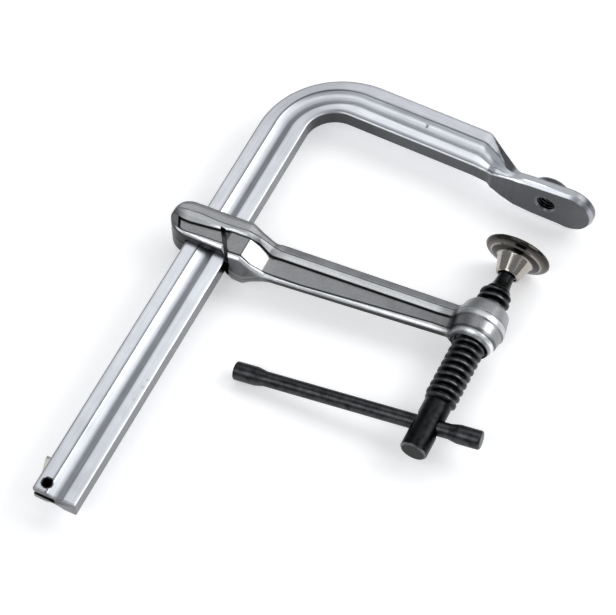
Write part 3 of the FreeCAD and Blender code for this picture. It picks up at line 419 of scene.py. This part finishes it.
# Painted shade, in turn: on the boss, the thread's roots, its crests (a little lighter), its mouth in the jaw's
# face, the slot and the pin's hole.
retoned(bar, (lambda x, y, z: (y > 5.85) & (np.hypot(x, z) < 12) & (y < 11), 0.2),
        (lambda x, y, z: (y > 0.02) & (y < 9.98) & (np.hypot(x, z) < 5.32), 0.01),
        (lambda x, y, z: (y > 0.9) & (y < 9.2) & (np.hypot(x, z) < 4.4), 0.09),
        (lambda x, y, z: (y > -0.1) & (y < 0.8) & (np.hypot(x, z) < 5.4), 0.22),
        (lambda x, y, z: (y < SLOT_Y + 0.1) & (x < SLOT_X + 0.1) & (np.abs(z) < SLOT_HALF + 0.01), 0.05),
        (lambda x, y, z: np.hypot(x - PIN[0], y - PIN[1]) < PIN_MOUTH + 0.01, 0.03))


def metal(name, **same):
    """A new metal with its node tree and shader. What is given is the same all over its surface."""
    material = bpy.data.materials.new(name)
    material.use_nodes = True
    shader = material.node_tree.nodes["Principled BSDF"]
    shader.inputs["Metallic"].default_value = 1.0
    for socket, given in same.items():
        shader.inputs[socket].default_value = given
    return material, material.node_tree, shader


def placed(piece, material, body, node):
    """Gives a piece its material, body and slot, and has it stand for its CAD node."""
    piece.data.materials.clear()
    piece.data.materials.append(material)
    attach(piece, body)
    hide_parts(node)


# Bright zinc over drawn steel: pale, slightly blue and glossy, with streaks along the bar from its drawing.
# They are 29 mm long and 0.6 mm wide, coarser than real ones so that they show, and clouds of 9 mm lie over
# them. The tone attribute runs from painted shade, almost black, to painted highlights on the faces. A Mix
# node's sockets 6 and 7 are its two colours, and NOISE is the range that most of a noise's values lie in.
STREAK_PER_MM, STREAKS_ACROSS, NOISE = 0.035, 1.8, {"From Min": 0.3, "From Max": 0.7}
drawn_zinc, tree, shader = metal("drawn_zinc")
place = add(tree, "ShaderNodeTexCoord")
wear_and_painted_light = add(tree, "ShaderNodeAttribute", attribute_name="tone")
along = add(tree, "ShaderNodeAttribute", attribute_name="along")
across = add(tree, "ShaderNodeAttribute", attribute_name="across")
along = add(tree, "ShaderNodeMath", {0: along.outputs["Fac"], 1: STREAK_PER_MM}, operation="MULTIPLY")
across = add(tree, "ShaderNodeMath", {0: across.outputs["Fac"], 1: STREAKS_ACROSS}, operation="MULTIPLY")
drawn = add(tree, "ShaderNodeCombineXYZ", {0: along.outputs[0], 1: across.outputs[0]})
streak = add(tree, "ShaderNodeTexNoise", {"Vector": drawn.outputs[0], "Scale": 1.0, "Detail": 4})
cloud = add(tree, "ShaderNodeTexNoise", {"Vector": place.outputs["Object"], "Scale": 110, "Detail": 4})
tint = add(tree, "ShaderNodeMix", {0: wear_and_painted_light.outputs["Fac"], 6: linear("#020303"), 7: linear("#F6F9FF")},
           data_type="RGBA")
drawing = add(tree, "ShaderNodeMapRange", {**NOISE, "Value": streak.outputs["Fac"], "To Min": 0.84, "To Max": 1.1})
mottle = add(tree, "ShaderNodeMapRange", {**NOISE, "Value": cloud.outputs["Fac"], "To Min": 0.93, "To Max": 1.05})
both = add(tree, "ShaderNodeMath", {0: mottle.outputs[0], 1: drawing.outputs[0]}, operation="MULTIPLY")
colour = add(tree, "ShaderNodeMix", {0: 1.0, 6: tint.outputs[2], 7: both.outputs[0]}, data_type="RGBA",
             blend_type="MULTIPLY")
tree.links.new(colour.outputs[2], shader.inputs["Base Color"])
rough = add(tree, "ShaderNodeMapRange", {"Value": streak.outputs["Fac"], "To Min": 0.22, "To Max": 0.38})
tree.links.new(rough.outputs[0], shader.inputs["Roughness"])
placed(bar, drawn_zinc, "bar", "rail")

# Arm: one drop forging. A head loops round the bar, a ribbed arm reaches across, and a boss at its end is
# bored and threaded for the screw. The dies met at its mid-plane, so each side is a height above that.
ARM_Y = -79.0
arm_x = np.concatenate([
    -157.3 + 7 * (1 - np.cos(np.linspace(0, math.pi / 2, 24))), np.linspace(-150, -127, 52),
    np.linspace(-126.7, -99, 88), np.linspace(-98.4, -17, 100), np.linspace(-16.7, -5, 48)])


def along_arm(*pairs, ease=0.5):
    """A value at each station of the arm, read off pairs of place and value with rounded corners."""
    places, values = np.array(pairs, float).T
    return eased(arm_x, places, values, ease)


def blended(a, b, reach):
    """The larger of two surfaces, with a hollow round in the corner where they cross."""
    near = np.clip(1 - np.abs(a - b) / reach, 0, 1)
    return np.maximum(a, b) + near * near * reach / 4


def carried(knots, rounds, fill, steps):
    """One profile for each station: straight lines from knot to knot, each cut into its number of parts,
    and each corner replaced by the parabola that touches both of its lines within its round's reach."""
    way = np.diff(knots, axis=1)
    far = np.maximum(np.linalg.norm(way[..., :2], axis=2), 1e-6)
    before = knots[:, 1:-1] - way[:, :-1] * np.minimum(0.49, rounds[:, 1:-1] / far[:, :-1])[..., None]
    after = knots[:, 1:-1] + way[:, 1:] * np.minimum(0.49, rounds[:, 1:-1] / far[:, 1:])[..., None]
    t = np.linspace(0, 1, steps)[None, None, :, None]
    bend = ((1 - t) ** 2 * before[:, :, None] + 2 * t * (1 - t) * knots[:, 1:-1, None]
            + t ** 2 * after[:, :, None])
    starts = np.concatenate([knots[:, :1], after], axis=1)
    stops = np.concatenate([before, knots[:, -1:]], axis=1)
    parts = [knots[:, :1]]
    for n, count in enumerate(fill):
        share = np.arange(1, count)[None, :, None] / count
        parts.append(starts[:, n, None] + (stops[:, n] - starts[:, n])[:, None] * share)
        parts.append(bend[:, n] if n < bend.shape[1] else knots[:, -1:])
    return np.concatenate(parts, axis=1)


# The outline in plan, its lower and upper side, with the boss's flat ends blended on.
inset = 8.6 - np.sqrt(np.clip(74 - np.clip(-148.7 - arm_x, 0, 8.6) ** 2, 0, None))
low_inset = 10.1 - 10.1 * np.sqrt(1 - np.clip((-145.5 - arm_x) / 11.8, 0, 1) ** 2)
boss_end = np.where(arm_x < -10.4, 7.4 + (arm_x + 10.4) * 2.5,
                    10 - 2.6 * np.clip((-5 - arm_x) / 5.4, 0, 1) ** 2)
low = along_arm((-160, -19.7), (-124.6, -19.7), (-122.2, -22.8), (-118.1, -25), (-112.3, -25.2), (-106, -21.1),
                (-100, -20.0), (-9.2, -9.3), (13, -7), ease=1) + low_inset
up = along_arm((-160, -0.6), (-157.3, -0.5), (-118.1, 1.7), (-112.3, -0.2), (-106, -0.6), (-100, 0.7),
               (-9.2, 8), (13, 10), ease=1) - inset
low, up = -blended(-low, boss_end - 0.8, 8.0), blended(up, boss_end, 9.0)

# Lines that run along the forging: its crease and step, the brow and the sill of its recess, and its rib.
# Towards the head's round end they close in with the outline.
lines = [along_arm(*pairs) for pairs in (
    ((-157, -7.5), (-152, -7.0), (-144.4, -5.9), (-133.7, -6.0), (-128.3, -5.6), (-118.2, -4.4),
     (-104, -3.9), (-100, -3.8), (-20, 2.7), (-6, 4.4)),
    ((-157, -9.5), (-150, -9.4), (-143, -8.8), (-137.8, -8.4), (-132, -8.2), (-126, -6.6), (-118, -5.9),
     (-104, -5.4), (-100, -5.4), (-20, 0.8), (-6, 2.9)),
    ((-157, -12.6), (-150.8, -12.4), (-136.8, -10.2), (-130.9, -9.2), (-127.2, -8.0), (-116.2, -7.3),
     (-111, -7.0), (-104, -8.4), (-100, -7.8), (-20, -1.3), (-6, 0.7)),
    ((-157, -18.4), (-147.3, -18.3), (-138.5, -17.2), (-126.6, -16.4), (-122.6, -19.6), (-116, -18.9),
     (-111, -19.6), (-105, -18.6), (-100, -18.1), (-85, -16.8), (-20, -7.4), (-6, -6.4)),
    ((-157, -19.0), (-147, -19.2), (-126.4, -18.7), (-122.4, -21.6), (-115, -20.9), (-109.8, -21.3),
     (-104, -20.6), (-100, -19.6), (-20, -9.6), (-6, -8.2)))]
full_low, full_up = low - low_inset, up + inset
crease, step, brow, sill, rib = (low + (line - full_low) * (up - low) / (full_up - full_low) for line in lines)
# Their heights, and those of the outline's lower and upper edge.
crown_z = along_arm((-160, 10.2), (-119, 10.2), (-112, 7.6), (-105, 3.2), (-100, 2.4), (13, 2.4))
crease_z = along_arm((-160, 10.2), (-119, 10.2), (-112, 8.4), (-106, 4.6), (-102, 3.4), (13, 3.4))
brow_z = along_arm((-160, 9.9), (-152, 9.3), (-117, 9.3), (-111, 7.2), (-106, 4.0), (-102, 3.3), (13, 3.3))
floor_z = along_arm((-160, 8.0), (-128, 8.0), (-126, 8.8), (-116.3, 8.8), (-105.4, 1.9), (13, 1.9), ease=0.25)
sill_z = floor_z - along_arm((-105, 0), (-100, 0.6), (13, 0.6))
rib_z = along_arm((-160, 9.9), (-152, 9.7), (-116, 9.9), (-109.8, 6.6), (-103.5, 3.0), (-98, 2.3), (13, 2.3))
low_z = along_arm((-160, 8.2), (-126, 8.2), (-122, 3.4), (-112, 2.8), (-105, 1.4), (-100, 0.9), (13, 0.9))
up_z = along_arm((-160, 4.5), (-119, 4.5), (-112, 3.0), (-105, 1.2), (-100, 1.0), (13, 1.0))
head = np.clip((-103 - arm_x) / 4, 0, 1)
end = 7.4 + 2.8 * np.sqrt(1 - (1 - np.clip((arm_x + 157.3) / 2.8, 0, 1)) ** 2)
# How bright the skin is: painted shade in the corners and flanks, painted highlights on the ribs and the ramp.
floor_tone = along_arm((-160, 0.29), (-117, 0.28), (-116.6, 0.08), (-116.3, 0.08), (-116, 0.85), (-110, 0.78),
                       (-107.5, 0.6), (-105.6, 0.5), (-105.3, 0.3), (-18, 0.27), (-12, 0.14), (-8, 0.28),
                       (-5, 0.3), ease=0.1)
rib_tone = along_arm((-160, 0.12), (-152, 0.15), (-150, 0.95), (-20, 0.95), (-15, 0.6), (-12, 0.3), (-9, 0.4),
                     (-5, 0.95))
brow_tone = along_arm((-160, 0.14), (-154, 0.2), (-149, 0.8), (-118, 0.75), (-112, 0.34), (-103, 0.36),
                      (-98, 0.62), (-22, 0.62), (-18, 0.32), (-10, 0.3), (-5, 0.6))
band_tone = along_arm((-160, 0.12), (-155, 0.2), (-150, 0.56), (-118, 0.56), (-112, 0.34), (-103, 0.36),
                      (-98, 0.62), (-22, 0.62), (-18, 0.32), (-10, 0.3), (-5, 0.6))
edge_tone = along_arm((-160, 0.14), (-150, 0.03), (-125, 0.02), (-122, 0.2), (-104, 0.18), (-98, 0.07),
                      (-14, 0.06), (-7, 0.24), (13, 0.24))
dark = along_arm((-16, 0.03), (-8, 0.14))
# From the lower edge to the upper: place, height, the corner's round, the boss's radius there, and tone.
step_z = 0.35 * brow_z + 0.65 * crease_z
lines = (
    (low, low_z, 0, 9.0, edge_tone), (rib - 0.15, rib_z - 1.3, 0.5, 10.0, edge_tone * 1.5),
    (rib + 0.1, rib_z - 0.95, 0.3, 10.3, rib_tone), (rib + 0.65 * (sill - rib), rib_z - 0.1, 0.4, 10.9, rib_tone),
    (sill, rib_z - 0.1, 0.1, 11.0, 0.5 * rib_tone), (sill + 0.25, sill_z, 0.1, 10.9, dark),
    (sill + 1.2, sill_z, 0.1, 11.3, dark), (sill + 1.7, sill_z, 0.1, 11.6, floor_tone),
    (brow - 0.75, floor_z, 0.1, 12.1, floor_tone), (brow - 0.4, floor_z, 0.1, 12.3, dark),
    (brow, brow_z, 0.1, 12.7, 2 * dark), (brow + 0.25, brow_z + 0.04, 0.1, 12.75, brow_tone),
    (step - 0.12, step_z, 0.1, 12.75, brow_tone), (step, step_z, 0.1, 12.7, 0.55 * brow_tone),
    (step + 0.12, step_z, 0.1, 12.7, band_tone),
    (crease - 0.3, crease_z - 0.15, 0.1, 12.5, 0.9 * band_tone), (crease - 0.06, crease_z - 0.35, 0.1, 12.2, 0.2),
    (crease + 0.1, crease_z, 0.1, 12.45, 0.36),
    (up - 0.25, crown_z, 0.8 + 3.4 * head, 11.0, 0.38), (up, up_z, 0, 10.7, 0.15))
knots = np.stack([np.stack([y, np.minimum(z, end), 0 * y + radius, 0 * y + tone], axis=1)
                  for y, z, _, radius, tone in lines], axis=1)
# Where the outline closes in at the head's end, no line passes its neighbour.
knots[..., 0] = np.clip(np.maximum.accumulate(knots[..., 0], axis=1), low[:, None], up[:, None])
rounds = np.stack([0 * arm_x + reach for _, _, reach, _, _ in lines], axis=1)
bands = carried(knots, rounds, (3, 1, 2, 1, 1, 1, 1, 14, 1, 1, 1, 3, 1, 1, 3, 1, 1, 7, 3), 3)
y_top, skin_z, barrel, tone = np.moveaxis(bands, 2, 0)
x_top = arm_x[:, None] + 0 * y_top
# The panel's left end slants: its wall climbs from the floor to the rim within 1.1 mm.
climb = np.clip((-151.6 + 0.5 * (-12.6 - y_top) - x_top) / 1.1, 0, 1)
panel = (y_top > sill[:, None] + 0.1) & (y_top < brow[:, None] - 0.1) & (x_top < -140)
rim_z = np.minimum(9.9, end)[:, None]
skin_z = np.where(panel, skin_z + np.maximum(rim_z - skin_z, 0) * climb, skin_z)
# The slanting wall is painted near black and the rim past it dark grey: painted shade.
tone = np.where(panel & (climb > 0), np.where(climb < 1, 0.02, 0.15), tone)
boss_z = np.where(-x_top < barrel, np.sqrt(np.clip(barrel ** 2 - x_top ** 2, 0, None)), (barrel + x_top) * 2.5)
z_top = blended(skin_z, boss_z, 8.0)
# Past the screw's axis the boss is free: the same profile turned from near upright down to the mid-plane,
# with a painted highlight in a streak along its top.
lean = np.linspace(math.asin(-4.9 / 12.2), math.pi / 2, 48)[:, None]
x_free = barrel[-1:] * np.sin(lean)
x_top = np.vstack([x_top, x_free])
y_top = np.vstack([y_top, y_top[-1:] + 0 * lean])
painted_highlight = np.exp(-((lean - 0.62) / 0.24) ** 2) * (y_top[-1:] > -6) * (y_top[-1:] < 4)
tone = np.vstack([tone, tone[-1:] + (0.95 - tone[-1:]) * painted_highlight])
z_top = np.vstack([z_top, barrel[-1:] * np.cos(lean)])
# The outline's walls go down to the mid-plane, where the dies left a flash line 0.2 mm proud.
wall = np.array([0, 0.05, 0.12, 0.25, 0.45, 0.7, 0.9])[None, :]
flash = 0.2 * np.clip(1 - wall / 0.12, 0, 1)
half = np.stack([
    np.hstack([x_top[:, :1] + 0 * wall, x_top, x_top[:, -1:] + 0 * wall]),
    np.hstack([y_top[:, :1] - flash, y_top, (y_top[:, -1:] + flash)[:, ::-1]]),
    np.hstack([z_top[:, :1] * wall, z_top, (z_top[:, -1:] * wall)[:, ::-1]])], axis=2)
whole = np.concatenate([half, half[:, -2:0:-1] * (1, 1, -1)], axis=1) + (0, ARM_Y, 0)
tone = np.hstack([tone[:, :1] + 0 * wall, tone, tone[:, -1:] + 0 * wall])
arm = skin("arm", (whole, True), sharp=40, tone=np.hstack([tone, tone[:, -2:0:-1]]))
# The faces that the cuts below leave carry a tone of 0, so they are near black: painted shade inside the cuts.
# The bar's way through the head, flared on its lower right.
WAY_X, WAY_Z = -145.4, 5.0
cut = np.array([[(x, y, z) for x, z in ((WAY_X, -WAY_Z), (right, -WAY_Z), (right, WAY_Z), (WAY_X, WAY_Z))]
                for y, right in ((-28, -119.2), (-19.7, -120.6), (-12, -122.6), (5, -122.6))]) + (0, ARM_Y, 0)
shaped(arm, skin("bar_way", (cut, True)), sharp=40)
# A slanted groove crosses each panel, and stops 0.7 mm short of the bar's way.
split = np.array([[(-132.1, -8.2, z), (-129.4, -8.2, z), (-120.1, -23.5, z), (-121.8, -23.5, z)]
                  for z in (WAY_Z + 0.7, 12)])
for side in (1, -1):
    shaped(arm, skin("split", (split * (1, 1, side) + (0, ARM_Y, 0), True)), sharp=40)
# The boss's bore, 0.2 mm clear of the screw's crests all round, with a countersink at either end.
bore = [(-13, 0), (-13, 12.4), (-9.2, 8.6), (-8.8, 8.2), (8.8, 8.2), (10, 9.4), (13, 12.4), (13, 0)]
shaped(arm, turned("bore", bore, (0, ARM_Y, 0), (0, 1, 0)), sharp=40)

# Zinc over a forged skin: duller than the bar, with a grit of 0.7 mm from the scale and the shot that took
# it off, and clouds of 8 mm. The tone attribute paints shade in the hollows and highlights on the ribs.
forged_zinc, tree, shader = metal("forged_zinc")
place = add(tree, "ShaderNodeTexCoord")
grain = add(tree, "ShaderNodeTexNoise", {"Vector": place.outputs["Object"], "Scale": 1400, "Detail": 3})
cloud = add(tree, "ShaderNodeTexNoise", {"Vector": place.outputs["Object"], "Scale": 130, "Detail": 4})
wear_and_painted_light = add(tree, "ShaderNodeAttribute", attribute_name="tone")
tint = add(tree, "ShaderNodeMix", {0: wear_and_painted_light.outputs["Fac"], 6: linear("#020303"), 7: linear("#FBFDFF")},
           data_type="RGBA")
mottle = add(tree, "ShaderNodeMapRange", {**NOISE, "Value": cloud.outputs["Fac"], "To Min": 0.86, "To Max": 1.08})
speck = add(tree, "ShaderNodeMapRange", {**NOISE, "Value": grain.outputs["Fac"], "To Min": 0.9, "To Max": 1.1})
both = add(tree, "ShaderNodeMath", {0: mottle.outputs[0], 1: speck.outputs[0]}, operation="MULTIPLY")
colour = add(tree, "ShaderNodeMix", {0: 1.0, 6: tint.outputs[2], 7: both.outputs[0]}, data_type="RGBA",
             blend_type="MULTIPLY")
tree.links.new(colour.outputs[2], shader.inputs["Base Color"])
rough = add(tree, "ShaderNodeMapRange", {"Value": cloud.outputs["Fac"], "To Min": 0.30, "To Max": 0.46})
tree.links.new(rough.outputs[0], shader.inputs["Roughness"])
bump = add(tree, "ShaderNodeBump", {"Height": grain.outputs["Fac"], "Strength": 0.3, "Distance": 0.0002})
tree.links.new(bump.outputs[0], shader.inputs["Normal"])
placed(arm, forged_zinc, "arm", "sliding_arm")

# Screw: a turned steel screw with a coarse rounded thread, a ball nose on a thin neck for the pad, and a
# plain tail with a cross hole for the rod. Black oxide finish, rubbed lighter on the thread's crests, where it
# also has a painted highlight.
BALL_Y, BALL_RADIUS, CORE, COARSE_PITCH, DEPTH, EYE_Y = -40.0, 5.3, 6.0, 4.0, 2.0, -135.5
ball = np.radians(np.linspace(90, -37, 26))
nose = np.stack([BALL_RADIUS * np.sin(ball), BALL_RADIUS * np.cos(ball)], axis=1)
neck = softened([(-3.2, 4.2, 0), (-4.0, 3.9, 0.4), (-7.5, 3.9, 1.5), (-11, 4.3, 2), (-13.6, 4.9, 1),
                 (-15, CORE, 0.6), (-16.6, CORE, 0)])[1:]
thread_y = np.arange(-16.7, -83.2, -0.2)
tail = softened([(-83.3, CORE, 0), (-84, 6.7, 0.3), (-110.3, 6.7, 0.3), (-111, 6.0, 0.3), (-111, 5.5, 0),
                 (-111, 0, 0)])
line = np.concatenate([nose, neck, np.stack([thread_y, np.full(len(thread_y), CORE)], axis=1), tail])
along, base = line[:, :1], line[:, 1:]
turn = np.linspace(0, 2 * math.pi, 96, endpoint=False)[None, :]
# Over each pitch the radius is a fifth crest, a sixth root and a smooth flank on either side, and the
# thread grows out of the core within 2.2 mm at both of its ends.
phase = (along / COARSE_PITCH - turn / (2 * math.pi)) % 1
crest = np.clip((0.84 - 2 * np.abs(phase - 0.5)) / 0.64, 0, 1)
grown = np.clip((-15.9 - along) / 2.2, 0, 1) * np.clip((along + 83.9) / 2.2, 0, 1)
radius = base + DEPTH * grown * crest ** 2 * (3 - 2 * crest)
grid = np.stack([radius * np.sin(turn), BALL_Y + along + 0 * turn, radius * np.cos(turn)], axis=2)
# The crests are lighter, rubbed and with a painted highlight, the tail's rim has a painted highlight, and the
# tail's end is darkest.
wear_and_painted_light = 0.055 + 0.3 * grown * crest ** 3
wear_and_painted_light = np.where((along < -110.35) & (base > 5.6), 0.5, np.where(along < -110.9, 0.004, wear_and_painted_light))
screw = skin("screw", (grid, True), sharp=40, tone=wear_and_painted_light)
DIP = math.radians(6.0)
CROSS = (math.cos(DIP), 0, math.sin(DIP))
# The eye is countersunk at both ends, and leaves the rod room to tilt.
eye = [(-9, 0), (-9, 6.4), (-6.9, 5.4), (-5.6, 4.5), (5.6, 4.5), (6.9, 5.4), (9, 6.4), (9, 0)]
shaped(screw, turned("eye", eye, (0, EYE_Y, 0), CROSS, 48), sharp=40)

# Black oxide on turned steel: nearly black with an oily gloss, in clouds of 3 mm, and grey where the tone
# attribute is high: on rubbed crests, and where it paints a highlight.
black_oxide, tree, shader = metal("black_oxide")
place = add(tree, "ShaderNodeTexCoord")
cloud = add(tree, "ShaderNodeTexNoise", {"Vector": place.outputs["Object"], "Scale": 320, "Detail": 4})
wear_and_painted_light = add(tree, "ShaderNodeAttribute", attribute_name="tone")
tint = add(tree, "ShaderNodeMix", {0: wear_and_painted_light.outputs["Fac"], 6: linear("#030303"), 7: linear("#8C8F93")},
           data_type="RGBA")
mottle = add(tree, "ShaderNodeMapRange", {**NOISE, "Value": cloud.outputs["Fac"], "To Min": 0.5, "To Max": 1.5})
colour = add(tree, "ShaderNodeMix", {0: 1.0, 6: tint.outputs[2], 7: mottle.outputs[0]}, data_type="RGBA",
             blend_type="MULTIPLY")
tree.links.new(colour.outputs[2], shader.inputs["Base Color"])
rough = add(tree, "ShaderNodeMapRange", {"Value": cloud.outputs["Fac"], "To Min": 0.24, "To Max": 0.4})
tree.links.new(rough.outputs[0], shader.inputs["Roughness"])
placed(screw, black_oxide, "screw", "spindle")

# Rod: plain round steel slid through the screw's eye, with both ends upset so that it can't come out.
# It has the screw's black finish.
# Its direction: along the eye, and swung 5.3 degrees in it towards the arm.
ROD = (0.990275, 0.092371, 0.104082)
ROD_LEFT, ROD_RIGHT, ROD_RADIUS, HEAD_RADIUS = -96, 26.5, 3.7, 4.6
rod_line = softened([
    (ROD_LEFT, 0, 0), (ROD_LEFT, HEAD_RADIUS, 1.0), (-85, HEAD_RADIUS, 1.2), (-80.5, ROD_RADIUS, 2),
    (11, ROD_RADIUS, 2), (15.5, HEAD_RADIUS, 1.2), (ROD_RIGHT, HEAD_RADIUS, 1.0), (ROD_RIGHT, 0, 0)], 8)
# Its end faces are painted darker than its length: painted shade.
wear_and_painted_light = np.where((rod_line[:, 0] < ROD_LEFT + 0.1) | (rod_line[:, 0] > ROD_RIGHT - 0.1), 0.03, 0.17)
rod = turned("rod", rod_line, (0, EYE_Y, 0), ROD, 64, tone=wear_and_painted_light)
placed(rod, black_oxide, "handle", "tommy_bar")

# Pad: a turned steel disc with a stepped back and a hollow hub whose lip is closed round the ball, so that
# it swivels. Bright nickel plate. It has dropped a little on the ball, so its face leans.
pad_line = softened([
    (8.5, 0, 0), (8.5, 15.9, 0.5), (7.7, 16.5, 0.6), (6.8, 16.5, 0.6), (5.9, 15.6, 0.5), (5.35, 13.2, 0.4),
    (4.6, 12.5, 0.4), (4.1, 9.7, 0.8), (3.4, 8.8, 0.8), (-4.2, 6.3, 0.5), (-5.2, 5.9, 0.3), (-5.2, 4.9, 0.1),
    (-4.7, 4.9, 0.1), (-4.5, 5.5, 0.1), (0, 5.45, 0.5), (4.0, 4.0, 1), (5.45, 0, 0)], 6)
PAD_LEAN = math.radians(8.0)
grid = turned("pad", pad_line, (0, 0, 0), (0, 1, 0), 128, made=False)
grid = np.stack([grid[..., 0], grid[..., 1] * math.cos(PAD_LEAN) - grid[..., 2] * math.sin(PAD_LEAN),
                 grid[..., 1] * math.sin(PAD_LEAN) + grid[..., 2] * math.cos(PAD_LEAN)], axis=2) + (0, BALL_Y, 0)
# The stepped back is painted dark, in place of its reflection of the dim room, but for one step with a painted
# highlight. The hub has a brighter painted highlight.
place_on, reach_on = pad_line[:, :1], pad_line[:, 1:]
pad_tone = np.interp(reach_on, (0, 9.6, 9.8, 12.4, 12.5, 13.2, 13.4, 15.5, 15.7, 17),
                     (0.06, 0.06, 0.04, 0.04, 0.3, 0.3, 0.05, 0.06, 0.06, 0.06))
pad_tone = np.where((place_on < 3.6) & (reach_on < 9), 0.5, pad_tone) + 0 * grid[..., 0]
pad_path = np.concatenate([[0], np.cumsum(np.linalg.norm(np.diff(pad_line, axis=0), axis=1))])[:, None]
pad = skin("pad", (grid, True), tone=pad_tone, along=pad_path + 0 * grid[..., 0])

# Bright nickel over turned steel: a warm sharp mirror on lathe rings 0.4 mm apart, coarser than real ones
# so that they show. Its gloss varies in clouds of 4 mm.
RINGS_PER_MM = 2.6
bright_nickel, tree, shader = metal("bright_nickel")
place = add(tree, "ShaderNodeTexCoord")
cloud = add(tree, "ShaderNodeTexNoise", {"Vector": place.outputs["Object"], "Scale": 240, "Detail": 3})
# The tone attribute sets the colour from painted shade on the back to painted highlights on the step and the hub.
wear_and_painted_light = add(tree, "ShaderNodeAttribute", attribute_name="tone")
tint = add(tree, "ShaderNodeMix", {0: wear_and_painted_light.outputs["Fac"], 6: linear("#0B0A08"), 7: linear("#F4EDE3")},
           data_type="RGBA")
along = add(tree, "ShaderNodeAttribute", attribute_name="along")
ring = add(tree, "ShaderNodeMath", {0: along.outputs["Fac"], 1: RINGS_PER_MM}, operation="MULTIPLY")
ring = add(tree, "ShaderNodeCombineXYZ", {0: ring.outputs[0]})
ring = add(tree, "ShaderNodeTexNoise", {"Vector": ring.outputs[0], "Scale": 1.0, "Detail": 2})
lathe = add(tree, "ShaderNodeMapRange", {**NOISE, "Value": ring.outputs["Fac"], "To Min": 0.6, "To Max": 1.2})
colour = add(tree, "ShaderNodeMix", {0: 1.0, 6: tint.outputs[2], 7: lathe.outputs[0]}, data_type="RGBA",
             blend_type="MULTIPLY")
tree.links.new(colour.outputs[2], shader.inputs["Base Color"])
rough = add(tree, "ShaderNodeMapRange", {"Value": cloud.outputs["Fac"], "To Min": 0.08, "To Max": 0.2})
tree.links.new(rough.outputs[0], shader.inputs["Roughness"])
placed(pad, bright_nickel, "pad", "swivel_pad")

# Latch: a flat pressed steel pawl on a pin through the bar's free end. A little coil spring behind it
# pushes its tip out past the bar, so that the arm can't slide off. Hardened, left a warm grey.
outline = softened([(-4.6, 0, 0), (-4.6, -3.4, 1.6), (3.4, -3.4, 1.6), (3.6, 3.4, 0.8), (-0.6, 13.4, 0.4),
                    (-7.8, 13.4, 0.3), (-7.8, 11.4, 0.4), (-4.8, 1.4, 1.5), (-4.6, 0, 0)])[:-1] + PIN
middle = outline.mean(0)
# Its rims are rounded: each ring's outline is drawn in towards the middle by its shrink.
rings = []
for lift, shrink in ((-1.4, 0.25), (-1.32, 0.07), (-1.15, 0), (1.15, 0), (1.32, 0.07), (1.4, 0.25)):
    pull = middle - outline
    rings.append(np.column_stack([outline + pull / np.linalg.norm(pull, axis=1)[:, None] * shrink,
                                  np.full(len(outline), lift)]))
latch = skin("latch", (np.array(rings), True))
shaped(latch, turned("latch_eye", [(-3, 0), (-3, 2.26), (3, 2.26), (3, 0)], (*PIN, 0), (0, 0, 1), 40))

# Bare tempered steel: a satin warm grey, stained in spots of 2 mm.
tempered, tree, shader = metal("tempered_steel", Roughness=0.35)
place = add(tree, "ShaderNodeTexCoord")
cloud = add(tree, "ShaderNodeTexNoise", {"Vector": place.outputs["Object"], "Scale": 500, "Detail": 3})
tint = add(tree, "ShaderNodeMix", {0: cloud.outputs["Fac"], 6: linear("#BDB9B0"), 7: linear("#E2DFD8")},
           data_type="RGBA")
tree.links.new(tint.outputs[2], shader.inputs["Base Color"])
placed(latch, tempered, "latch", "stop_latch")

# Pin, latch spring and snap ring: plain steel pin pressed through the bar, coiled wire, and the wire ring
# that sits on the neck inside the pad's hub.
PIN_HALF, PIN_RADIUS = 4.1, 2.2
pin_line = softened([(-PIN_HALF, 0, 0), (-PIN_HALF, PIN_RADIUS, 0.5),
                     (PIN_HALF, PIN_RADIUS, 0.5), (PIN_HALF, 0, 0)])
pin = turned("pin", pin_line, (*PIN, 0), (0, 0, 1), 40)
placed(pin, black_oxide, "bar", "latch_pin")

# Drawn spring wire: plain grey, its gloss uneven every 1.4 mm.
wire_steel, tree, shader = metal("wire_steel", **{"Base Color": linear("#A9A9AA")})
place = add(tree, "ShaderNodeTexCoord")
cloud = add(tree, "ShaderNodeTexNoise", {"Vector": place.outputs["Object"], "Scale": 700, "Detail": 3})
rough = add(tree, "ShaderNodeMapRange", {"Value": cloud.outputs["Fac"], "To Min": 0.22, "To Max": 0.45})
tree.links.new(rough.outputs[0], shader.inputs["Roughness"])
for name in ("latch_spring", "pad_snap_ring"):
    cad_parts[name].data.materials.clear()
    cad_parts[name].data.materials.append(wire_steel)
